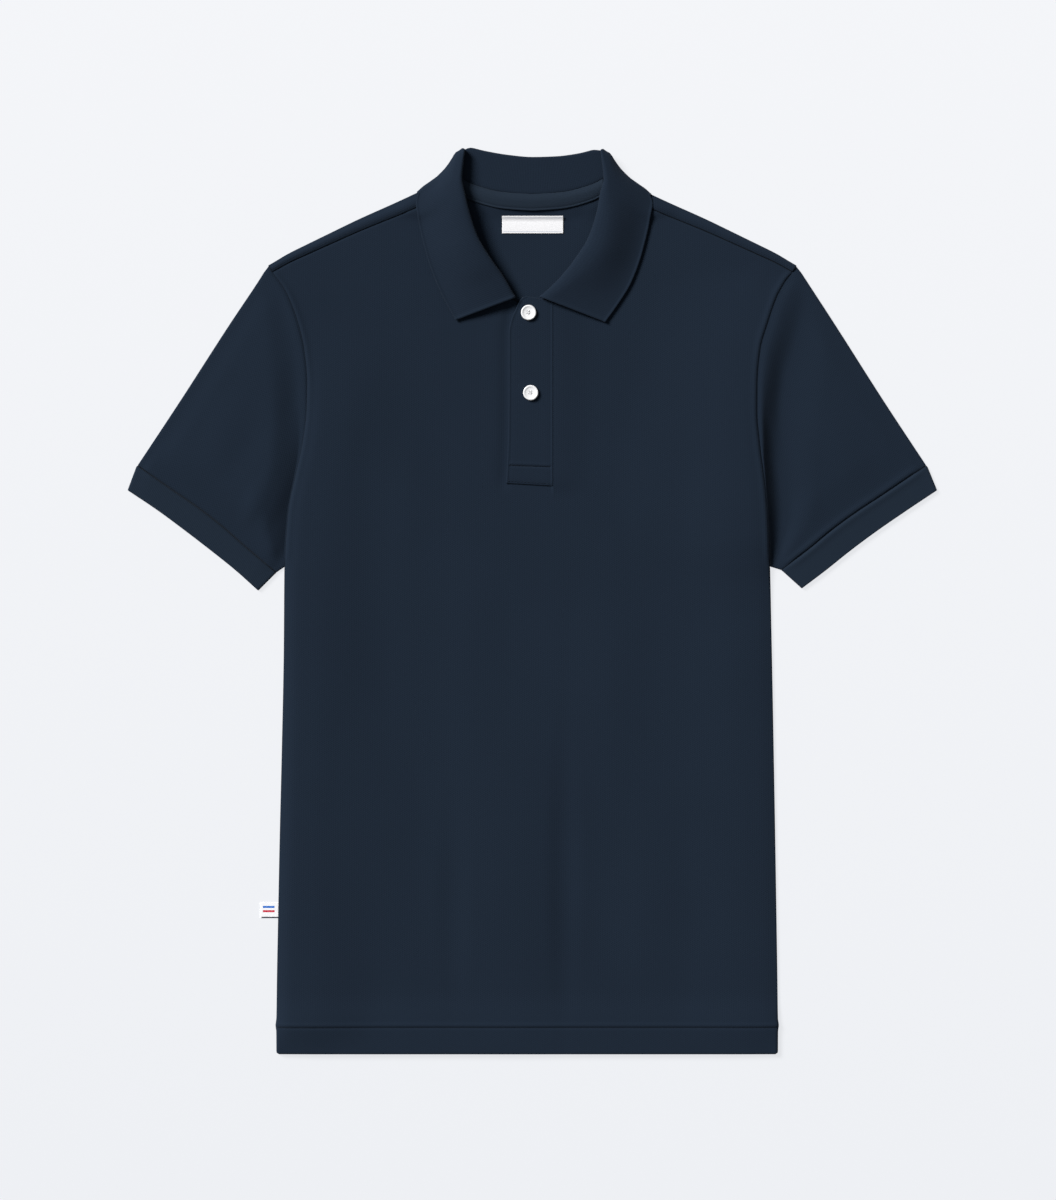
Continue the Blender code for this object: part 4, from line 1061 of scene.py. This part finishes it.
# ---------------------------------------------------------------- placket and trims

def make_under_placket(material):
    across = np.linspace(SLOT[0] + SEAM_GAP, SLOT[1] - SEAM_GAP, 9)
    bottom, top = UNDER_PLACKET
    x, y = np.meshgrid(across, bottom + spaced(top - bottom, 6, 1))
    grid = place(x, y, front_level(x, np.minimum(y, FRONT_NECK)))
    return shell("placket_under_cloth", ["placket_under"], material, CLOTH, grid,
                 np.dstack((x, y)))


def make_placket(material):
    near_box = BOX_LINE[0] + np.array(BOX_ROWS)
    even = spaced(PLACKET_LONG, 4)
    even = even[(even < near_box[0] - 0.5) | (even > near_box[-1] + 0.5)]
    up = np.sort(np.concatenate([even, near_box])) / PLACKET_LONG
    across = spaced(PLACKET_WIDE, 3, 10, 10) / PLACKET_WIDE
    up, across = np.meshgrid(up, across, indexing="ij")
    left, height, drop = np.moveaxis(
        smooth(fractions(PLACKET_ROWS[:, :2]), PLACKET_ROWS, up), -1, 0)
    x = left + across * (PLACKET_RIGHT - left)
    y = height - across * drop
    from_side = np.minimum(across, 1 - across) * (PLACKET_RIGHT - left)
    from_end = y - PLACKET_ROWS[0, 1]
    z = placket_z(x, y) + relief(from_side, PLACKET_EDGES)
    z += ease((from_side - BOX_INSET) / BOX_FADE) * relief(
        from_end - BOX_LINE[0] + across * BOX_LINE[1], BOX_SEAM)
    z += relief(from_end + across * PLACKET_ROWS[0, 2], PLACKET_END)
    return shell("placket_top_cloth", ["placket_top"], material, PLACKET_WALL,
                 place(x, y, z), np.dstack((x, y)))


def below_neck(x, down):
    """The height at a distance below the back neck's seam."""
    return smooth(*np.array(BACK_NECKLINE)[::-1].T, np.abs(x)) - down


def make_tape(material):
    """The tape over the back neck seam, rounded over the seam's allowance."""
    first, last = TAPE_ROWS[[0, -1], 0]
    x, down = np.meshgrid(spaced(2 * TAPE_END, 3, 6, 6) - TAPE_END,
                          spaced(last - first, 0.7, 6, 6) + first)
    height = below_neck(x, down)
    level = over_back(x, height) + 0.5 * CLOTH + SEAM_GAP + 0.5 * TAPE_WALL
    grid = place(x, height, level + columns_at(TAPE_ROWS, down)[0])
    return shell("neck_tape_cloth", ["neck_tape"], material, TAPE_WALL, grid[::-1],
                 np.dstack((x, down))[::-1])


def make_label(material):
    left, right, bottom, top = LABEL
    x, y = np.meshgrid(spaced(right - left, 3, 6, 6) + left,
                       spaced(top - bottom, 1.5, 6, 6) + bottom)
    bow = LABEL_BOW * np.sin(np.pi * (y - bottom) / (top - bottom))
    level = over_back(x, y) + 0.5 * CLOTH + SEAM_GAP + 0.5 * LABEL_WALL
    return shell("neck_label_woven", ["neck_label"], material, LABEL_WALL,
                 place(x, y, level + bow), np.dstack((x - left, y - bottom)))


def make_tag(material):
    """The tag in the side seam: a strip folded at its outer end."""
    left, bottom, top = TAG
    right = float(outline(0.5 * (bottom + top), LEFT)) + 1
    bend = 0.5 * TAG_WALL + 0.05
    start = left + 0.5 * TAG_WALL + bend
    run = np.linspace(right, start, TAG_COLUMNS)
    arc = np.radians(FOLD_ARC)
    x = np.concatenate([run, start - bend * np.cos(arc), run[::-1]])
    side = np.concatenate([np.full(TAG_COLUMNS, -1), np.sin(arc), np.full(TAG_COLUMNS, 1)])
    z = 0.5 * TAG_WALL + bend * (1 + side) + TAG_TILT * (x - left) / (right - left)
    across = x - left
    across[:-TAG_COLUMNS] += TAG_UNDERSIDE
    y = spaced(top - bottom, 1.2, 5, 5)[:, None] + bottom
    knit = np.stack(np.broadcast_arrays(across, y - bottom), axis=-1)
    return shell("side_tag_woven", ["side_tag"], material, TAG_WALL,
                 place(x, y, z)[:, ::-1], knit[:, ::-1])


def button_base(x, height):
    return float(placket_z(x, height)) + 0.5 * PLACKET_WALL + SEAM_GAP


def lathe(profile, around, middle):
    """Corners and faces of a solid turned from a profile, from its top to its underside."""
    turns = 2 * np.pi * np.arange(around) / around
    corners = [(0, 0, profile[0][1])]
    for radius, z in profile[1:-1]:
        corners += [(radius * math.cos(turn), radius * math.sin(turn), z) for turn in turns]
    corners.append((0, 0, profile[-1][1]))
    faces = []
    for spot in range(around):
        one, two = 1 + spot, 1 + (spot + 1) % around
        faces.append((0, one, two))
        for _ in profile[3:]:
            faces.append((one, one + around, two + around, two))
            one, two = one + around, two + around
        faces.append((one, len(corners) - 1, two))
    return np.array(corners) + middle, faces


def make_button(name, x, height, material):
    """A turned four-hole button with a raised rim."""
    base = place(x, height, button_base(x, height))
    corners, faces = lathe(BUTTON_PROFILE, BUTTON_AROUND, base)
    blank = new_item(name + "_blank", new_mesh(name + "_blank", corners, [], faces))
    corners, faces = [], []
    for across, up in ((-1, -1), (1, -1), (1, 1), (-1, 1)):
        hole = base + np.array((across, up, 0)) * HOLE_OUT
        ring, sides = lathe(DRILL_PROFILE, DRILL_AROUND, hole)
        faces += [tuple(len(corners) + n for n in face) for face in sides]
        corners += ring.tolist()
    drill = new_mesh(name + "_drill", np.array(corners), [], faces)
    cutter = new_item(name + "_drill", drill)
    cut = blank.modifiers.new("holes", "BOOLEAN")
    cut.operation = "DIFFERENCE"
    cut.solver = "EXACT"
    cut.object = cutter
    made = evaluated_mesh(blank)
    for spare in (blank, cutter):
        bpy.data.objects.remove(spare, do_unlink=True)
    return finish_piece(made, name + "_turned", material, [name])


# ---------------------------------------------------------------- node trees

class Graph:
    """Short ways of adding a tree's nodes and joining them."""

    def __init__(self, tree):
        self.tree = tree

    def put(self, socket, value):
        if isinstance(value, bpy.types.NodeSocket):
            self.tree.links.new(value, socket)
        else:
            socket.default_value = value

    def add(self, kind, inputs=None, **settings):
        """A new node's outputs, with its settings and inputs, which are values or sockets."""
        node = self.tree.nodes.new(kind)
        for label, value in settings.items():
            setattr(node, label, value)
        for label, value in (inputs or {}).items():
            self.put(node.inputs[label], value)
        return node.outputs

    def math(self, operation, *values):
        return self.add("ShaderNodeMath", dict(enumerate(values)), operation=operation)[0]

    def wave(self, value, pitch):
        """A cosine wave of a coordinate with a pitch, both in metres."""
        turns = self.math("DIVIDE", value, pitch)
        return self.math("COSINE", self.math("MULTIPLY", turns, 2 * math.pi))

    def ramp(self, value, low, high, to_low, to_high):
        return self.add("ShaderNodeMapRange", {
            "Value": value, "From Min": low, "From Max": high, "To Min": to_low,
            "To Max": to_high})["Result"]

    def scaled(self, vector, by):
        return self.add("ShaderNodeVectorMath", {0: vector, "Scale": by},
                        operation="SCALE")["Vector"]

    def mix(self, share, one, two):
        return self.add("ShaderNodeMix", {0: share, 6: one, 7: two}, data_type="RGBA")[2]

    def noise(self, place, scale, detail, roughness=0.5):
        return self.add("ShaderNodeTexNoise", {"Vector": place, "Scale": scale,
                                               "Detail": detail, "Roughness": roughness})

    def parts(self, vector):
        return self.add("ShaderNodeSeparateXYZ", {"Vector": vector})

    def knit(self):
        """The cloth's own coordinates."""
        return self.add("ShaderNodeUVMap", uv_map="knit")["UV"]

    def where(self):
        return self.add("ShaderNodeTexCoord")["Object"]

    def use(self, tree, **inputs):
        return self.add("ShaderNodeGroup", inputs, node_tree=tree)


SOCKETS = {"number": "NodeSocketFloat", "vector": "NodeSocketVector", "colour": "NodeSocketColor",
           "shape": "NodeSocketGeometry", "material": "NodeSocketMaterial"}


def group(name, kind, inputs, outputs):
    """A node group's graph, what comes into it, and how its results are put out."""
    tree = bpy.data.node_groups.new(name, kind)
    for label, socket_kind, *value in inputs:
        socket = tree.interface.new_socket(label, in_out="INPUT",
                                           socket_type=SOCKETS[socket_kind])
        if value:
            socket.default_value = value[0]
    for label, socket_kind in outputs:
        tree.interface.new_socket(label, in_out="OUTPUT", socket_type=SOCKETS[socket_kind])
    g = Graph(tree)
    return g, g.add("NodeGroupInput"), lambda **found: g.add("NodeGroupOutput", found)


def stitch_tree():
    """Stitches along lines of edges: their length, spacing and thread are inputs."""
    g, start, end = group("stitch_rows", "GeometryNodeTree", (
        ("Lines", "shape"), ("Stitch Length", "number", 0.0022), ("Spacing", "number", 0.0027),
        ("Thread", "number", 0.0002), ("Finish", "material")), (("Stitches", "shape"),))
    curve = g.add("GeometryNodeMeshToCurve", {"Mesh": start["Lines"]})["Curve"]
    even = g.add("GeometryNodeResampleCurve", {"Curve": curve, "Length": start["Spacing"]},
                 mode="LENGTH")["Curve"]
    ball = g.add("GeometryNodeMeshUVSphere", {"Segments": 6, "Rings": 5, "Radius": 1})["Mesh"]
    ball = g.add("GeometryNodeSetShadeSmooth", {"Geometry": ball})["Geometry"]
    half = g.math("MULTIPLY", start["Stitch Length"], 0.5)
    size = g.add("ShaderNodeCombineXYZ", {"X": start["Thread"], "Y": start["Thread"], "Z": half})
    tangent = g.add("GeometryNodeInputTangent")["Tangent"]
    turn = g.add("FunctionNodeAlignEulerToVector", {"Vector": tangent}, axis="Z")["Rotation"]
    put = g.add("GeometryNodeInstanceOnPoints", {
        "Points": even, "Instance": ball, "Rotation": turn, "Scale": size["Vector"]})
    real = g.add("GeometryNodeRealizeInstances", {"Geometry": put["Instances"]})["Geometry"]
    painted = g.add("GeometryNodeSetMaterial", {"Geometry": real, "Material": start["Finish"]})
    end(Stitches=painted["Geometry"])
    return g.tree


def uneven_tree():
    """Slow changes of tone over a cloth, and its fine fibres."""
    g, start, end = group("uneven_tone", "ShaderNodeTree", (
        ("Place", "vector"), ("Colour", "colour", (1, 1, 1, 1)), ("Amount", "number", 0.1),
        ("Fibre", "number", 0.1)), (("Colour", "colour"), ("Fibre", "number")))
    slow = g.noise(start["Place"], 9, 3, 0.55)["Fac"]
    fine = g.noise(start["Place"], 900, 2, 0.6)["Fac"]
    slow_part, fine_part = (
        g.math("MULTIPLY", g.math("SUBTRACT", noise, 0.5), start[label])
        for noise, label in ((slow, "Amount"), (fine, "Fibre")))
    tone = g.math("ADD", g.math("ADD", slow_part, fine_part), 1)
    end(Colour=g.scaled(start["Colour"], tone), Fibre=fine)
    return g.tree


def pique_tree():
    """The raised net of a pique knit round its small sunk cells, which lie as in a honeycomb."""
    g, start, end = group("pique_cells", "ShaderNodeTree", (
        ("Place", "vector"), ("Cell", "number", 0.0015)), (("Height", "number"),))
    bend = g.scaled(g.noise(start["Place"], 160, 1)["Color"], 0.0006)
    shifted = g.add("ShaderNodeVectorMath", {0: start["Place"], 1: bend}, operation="ADD")
    parts = g.parts(shifted["Vector"])
    half_x = g.math("MULTIPLY", parts["X"], 0.5)
    slant_y = g.math("MULTIPLY", parts["Y"], math.sqrt(0.75))
    total = g.wave(parts["X"], start["Cell"])
    for slant in ("ADD", "SUBTRACT"):
        total = g.math("ADD", total, g.wave(g.math(slant, half_x, slant_y), start["Cell"]))
    end(Height=g.ramp(total, -1.5, 3, 1, 0))
    return g.tree


def rib_tree():
    """The wales of a fine rib knit with their small stitches."""
    g, start, end = group("rib_wales", "ShaderNodeTree", (
        ("Place", "vector"), ("Wale", "number", 0.0014), ("Course", "number", 0.0011)),
        (("Height", "number"),))
    parts = g.parts(start["Place"])
    wales = g.math("ABSOLUTE", g.wave(parts["X"], g.math("MULTIPLY", start["Wale"], 2)))
    courses = g.wave(parts["Y"], start["Course"])
    end(Height=g.math("ADD", g.math("MULTIPLY", wales, 0.8), g.math("MULTIPLY", courses, 0.12)))
    return g.tree


# ---------------------------------------------------------------- finishes

def finish(name, roughness, specular, sheen=0):
    """A material with its shader's plain numbers set, and its graph."""
    material = bpy.data.materials.new(name)
    material.use_nodes = True
    shader = material.node_tree.nodes["Principled BSDF"]
    shader.inputs["Roughness"].default_value = roughness
    shader.inputs["Specular IOR Level"].default_value = specular
    shader.inputs["Sheen Weight"].default_value = sheen
    return material, shader, Graph(material.node_tree)


def surface(g, shader, colour, height=None, strength=0, depth=0):
    """Puts a colour on a shader, and a height as bump of a strength and depth."""
    g.put(shader.inputs["Base Color"], colour)
    if height is not None:
        bump = g.add("ShaderNodeBump", {"Strength": strength, "Distance": depth,
                                        "Height": height})
        g.put(shader.inputs["Normal"], bump["Normal"])


def knit_material(name, colour, pattern, depth, strength, uneven):
    """Matt knitted cloth, its pattern raised along the cloth's own coordinates."""
    material, shader, g = finish(name, roughness=0.88, specular=0.07, sheen=0.05)
    knit = g.knit()
    tone = g.use(uneven, Place=knit, Colour=colour, Amount=0.16, Fibre=0.3)
    cells = g.use(pattern, Place=knit)["Height"]
    # painted shade along sewn edges, darker the nearer the seam
    from_seam = g.add("ShaderNodeAttribute", attribute_name="from_seam")["Fac"]
    # painted shade: the knit is darker in its sunk cells and between its wales, lighter on the
    # raised net
    shade = g.math("MULTIPLY", g.ramp(cells, 0, 1, 0.92, 1.04), g.ramp(from_seam, *SEAM_PAINTED_SHADE))
    height = g.math("ADD", cells, g.math("MULTIPLY", tone["Fibre"], 0.3))
    surface(g, shader, g.scaled(tone["Colour"], shade), height, strength, depth)
    return material


def tape_material(uneven):
    """Herringbone tape: slanting lines that turn about at each narrow stripe."""
    material, shader, g = finish("tape_herringbone", roughness=0.82, specular=0.12, sheen=0.05)
    knit = g.knit()
    parts = g.parts(knit)
    zigzag = g.math("PINGPONG", parts["Y"], 0.0016)
    slant = g.wave(g.math("ADD", parts["X"], zigzag), 0.0011)
    tone = g.use(uneven, Place=knit, Colour=TAPE_NAVY, Amount=0.12, Fibre=0.25)
    surface(g, shader, tone["Colour"], slant, 0.5, 0.00012)
    return material


def bar(g, parts, left, right, bottom, top):
    """A mask that is 1 inside a rectangle of the cloth's coordinates, in millimetres."""
    masks = []
    for label, low, high in (("X", left, right), ("Y", bottom, top)):
        apart = g.math("ABSOLUTE", g.math("SUBTRACT", parts[label], 0.5 * (low + high) * MM))
        masks.append(g.math("LESS_THAN", apart, 0.5 * (high - low) * MM))
    return g.math("MULTIPLY", *masks)


def woven_material(name, bars, uneven):
    """Smooth woven label cloth with bars of colour: woven ones, and on the tag a painted shadow
    along its lower edge.
    """
    material, shader, g = finish(name, roughness=0.6, specular=0.25)
    knit = g.knit()
    parts = g.parts(knit)
    colour = g.use(uneven, Place=knit, Colour=WHITE_CLOTH, Amount=0.04, Fibre=0.06)["Colour"]
    for shape, paint in bars:
        colour = g.mix(bar(g, parts, *shape), colour, paint)
    weave = g.math("MULTIPLY", g.wave(parts["X"], 0.00035), g.wave(parts["Y"], 0.0005))
    surface(g, shader, colour, weave, 0.3, 0.00005)
    return material


def button_material():
    material, shader, g = finish("button_polished", roughness=0.22, specular=0.5)
    shader.inputs["Coat Weight"].default_value = 0.3
    shader.inputs["Coat Roughness"].default_value = 0.08
    cloud = g.noise(g.where(), 240, 2)["Fac"]
    surface(g, shader, g.mix(g.ramp(cloud, 0.35, 0.7, 0, 1), BUTTON_WHITE, BUTTON_CLOUD))
    g.put(shader.inputs["Roughness"], g.ramp(cloud, 0.3, 0.7, 0.18, 0.3))
    return material


def thread_material(name, colour):
    """Sewing thread with its fine twist."""
    material, shader, g = finish(name, roughness=0.7, specular=0.2)
    twist = g.noise(g.where(), 1500, 1)["Fac"]
    surface(g, shader, g.scaled(colour[:3], g.ramp(twist, 0.3, 0.7, 0.8, 1.15)))
    return material


# ---------------------------------------------------------------- stitches

def make_stitches(name, tree, lines, material, sizes=None):
    """Runs the stitch tree over lines of points, in millimetres, and keeps its plain mesh."""
    edges = []
    first = 0
    for line in lines:
        edges += [(first + n, first + n + 1) for n in range(len(line) - 1)]
        first += len(line)
    mesh = new_mesh(name + "_lines", np.concatenate(lines), edges, [])
    holder = new_item(name + "_lines", mesh)
    maker = holder.modifiers.new("stitches", "NODES")
    maker.node_group = tree
    values = {"Finish": material, **(sizes or {})}
    for item in tree.interface.items_tree:
        if item.name in values:
            maker[item.identifier] = values[item.name]
    made = evaluated_mesh(holder)
    made.name = name
    holder.modifiers.clear()
    bpy.data.objects.remove(holder, do_unlink=True)
    return finish_piece(made, name, material, [])


def on_placket(x, height, sink):
    return place(x, height, placket_z(x, height) + 0.5 * PLACKET_WALL - sink)


def hem_lines():
    x = np.linspace(OUTLINE[0, 1] + HEM_STITCHES_IN, OUTLINE[0, 2] - HEM_STITCHES_IN,
                    HEM_STITCH_POINTS)
    return [place(x, HEM_DEPTH, front_z(x, HEM_DEPTH) + 0.5 * CLOTH - SURFACE_SINK)]


def placket_lines():
    """Up both sides of the placket, and twice across its box."""
    side = np.linspace(*STITCH_HEIGHTS, STITCH_POINTS)
    left = smooth(PLACKET_ROWS[:, 1], PLACKET_ROWS[:, 0], side) + STITCH_IN
    lines = [on_placket(left, side, STITCH_SINK),
             on_placket(PLACKET_RIGHT - STITCH_IN, side[:STITCH_RIGHT_POINTS], STITCH_SINK)]
    across = np.linspace(0, 1, BOX_STITCH_POINTS)
    left, height, drop = PLACKET_ROWS[0]
    start, end = left + BOX_STITCHES_IN, PLACKET_RIGHT - BOX_STITCHES_IN
    for above, sink in BOX_STITCHES:
        lines.append(on_placket(start + across * (end - start),
                                height - across * drop + above, sink))
    return lines


def shoulder_lines():
    from_armhole, from_neck, behind = SHOULDER_STITCHES
    x = np.linspace(SHOULDER_END[0] - from_armhole, SEAM_AT_NECK[0] + from_neck, STITCH_POINTS)
    share = (SHOULDER_END[0] - x) / (SHOULDER_END[0] - SEAM_AT_NECK[0])
    height = SHOULDER_END[1] + share * (SEAM_AT_NECK[1] - SHOULDER_END[1]) + behind
    return [place(side * x, height, strip_z(side * x, height) + 0.5 * CLOTH - SHOULDER_SINK)
            for side in (LEFT, RIGHT)]


def tape_lines():
    end = TAPE_END - TAPE_STITCHES_IN
    x = np.linspace(-end, end, STITCH_POINTS)
    height = below_neck(x, TAPE_STITCH_DOWN)
    lift = columns_at(TAPE_ROWS, TAPE_STITCH_DOWN)[0]
    z = over_back(x, height) + 0.5 * CLOTH + SEAM_GAP + TAPE_WALL + lift - SURFACE_SINK
    return [place(x, height, z)]


def thread_lines():
    """Two threads on each button, down into its holes at both ends."""
    across, lift = np.array(BUTTON_THREAD)
    return [place(x + across * HOLE_OUT, height + up * HOLE_OUT,
                  button_base(x, height) + BUTTON_PROFILE[0][1] + lift)
            for _, x, height in BUTTONS for up in (-1, 1)]


# ---------------------------------------------------------------- stage

def make_stage():
    corners = [(x * FLOOR_HALF, y * FLOOR_HALF, FLOOR_Z)
               for x, y in ((-1, -1), (1, -1), (1, 1), (-1, 1))]
    mesh = bpy.data.meshes.new("floor")
    mesh.from_pydata(corners, [], [(0, 1, 2, 3)])
    material, shader, g = finish("floor_lit_paper", roughness=0.9, specular=0.1)
    # painted light: the floor's tone rises towards the top of the frame, and most of it glows
    up = g.ramp(g.parts(g.where())["Y"], -FLOOR_REACH, FLOOR_REACH, 0, 1)
    colour = g.mix(up, *FLOOR_TONES)
    surface(g, shader, colour)
    glow = g.add("ShaderNodeEmission", {"Color": colour, "Strength": 1})
    both = g.add("ShaderNodeMixShader", {0: FLOOR_GLOW, 1: shader.outputs[0], 2: glow[0]})
    g.put(g.tree.nodes["Material Output"].inputs[0], both[0])
    mesh.materials.append(material)
    floor = new_item("floor", mesh)

    world = bpy.data.worlds.new("soft_room")
    world.use_nodes = True
    g = Graph(world.node_tree)
    sky = world.node_tree.nodes["Background"]
    sky.inputs["Color"].default_value = ROOM_TONE
    sky.inputs["Strength"].default_value = ROOM_LIGHT
    seen = g.add("ShaderNodeBackground", {"Color": ROOM_SEEN, "Strength": 1})
    from_camera = g.add("ShaderNodeLightPath")["Is Camera Ray"]
    both = g.add("ShaderNodeMixShader", {0: from_camera, 1: sky.outputs[0], 2: seen[0]})
    g.put(world.node_tree.nodes["World Output"].inputs[0], both[0])
    bpy.context.scene.world = world

    for name, azimuth, elevation, strength, angle in LAMPS:
        lamp = bpy.data.lights.new(name, "SUN")
        lamp.energy = strength
        lamp.angle = math.radians(angle)
        a = math.radians(azimuth)
        e = math.radians(elevation)
        way = Vector((math.cos(a) * math.cos(e), math.sin(a) * math.cos(e), math.sin(e)))
        new_item(name, lamp).rotation_euler = way.to_track_quat("Z", "Y").to_euler()


def make_camera():
    camera = bpy.data.cameras.new("camera")
    camera.lens = LENS
    camera.sensor_width = SENSOR
    camera.clip_start = 0.05
    camera.clip_end = 200.0
    distance = FRAME_SIZE[1] * PIXEL * LENS / SENSOR
    item = new_item("camera", camera)
    item.location = [value * MM for value in (*FRAME_MIDDLE, distance + FRAME_LEVEL)]
    bpy.context.scene.camera = item


# ---------------------------------------------------------------- the whole shirt

make_camera()
make_stage()
bpy.context.scene.view_settings.view_transform = "Standard"

uneven = uneven_tree()
wales = rib_tree()
pique = knit_material("pique_navy", NAVY, pique_tree(), 0.00028, 0.42, uneven)
rib = knit_material("rib_navy", RIB_NAVY, wales, 0.00030, 0.38, uneven)
cuff_rib = knit_material("rib_navy_cuff", CUFF_NAVY, wales, 0.00030, 0.4, uneven)
plastic = button_material()
navy_thread = thread_material("thread_navy", THREAD_NAVY)
white_thread = thread_material("thread_white", THREAD_WHITE)

back = make_back(pique)
front = make_front(pique)
sleeves = {}
for name, shape in SLEEVES.items():
    sleeves[name], sleeve_end = make_sleeve(name, shape, pique)
    make_cuff(name, shape, cuff_rib, sleeve_end)
collar = make_collar(rib)
tape = make_tape(tape_material(uneven))
under_placket = make_under_placket(pique)
placket = make_placket(pique)
label = make_label(woven_material("label_woven", LABEL_BARS, uneven))
tag = make_tag(woven_material("tag_woven", TAG_BARS, uneven))
for name, x, height in BUTTONS:
    make_button(name, x, height, plastic)

stitches = stitch_tree()
hem_stitches, placket_stitches, shoulder_stitches, tape_stitches = (
    make_stitches(name + "_stitches", stitches, lines, navy_thread)
    for name, lines, slot in (("hem", hem_lines(), "pique"), ("placket", placket_lines(), "pique"),
                              ("shoulder", shoulder_lines(), "pique"),
                              ("tape", tape_lines(), "tape")))
make_stitches(
    "button_threads", stitches, thread_lines(), white_thread,
    {"Stitch Length": 0.0009, "Spacing": 0.0004, "Thread": 0.00042})
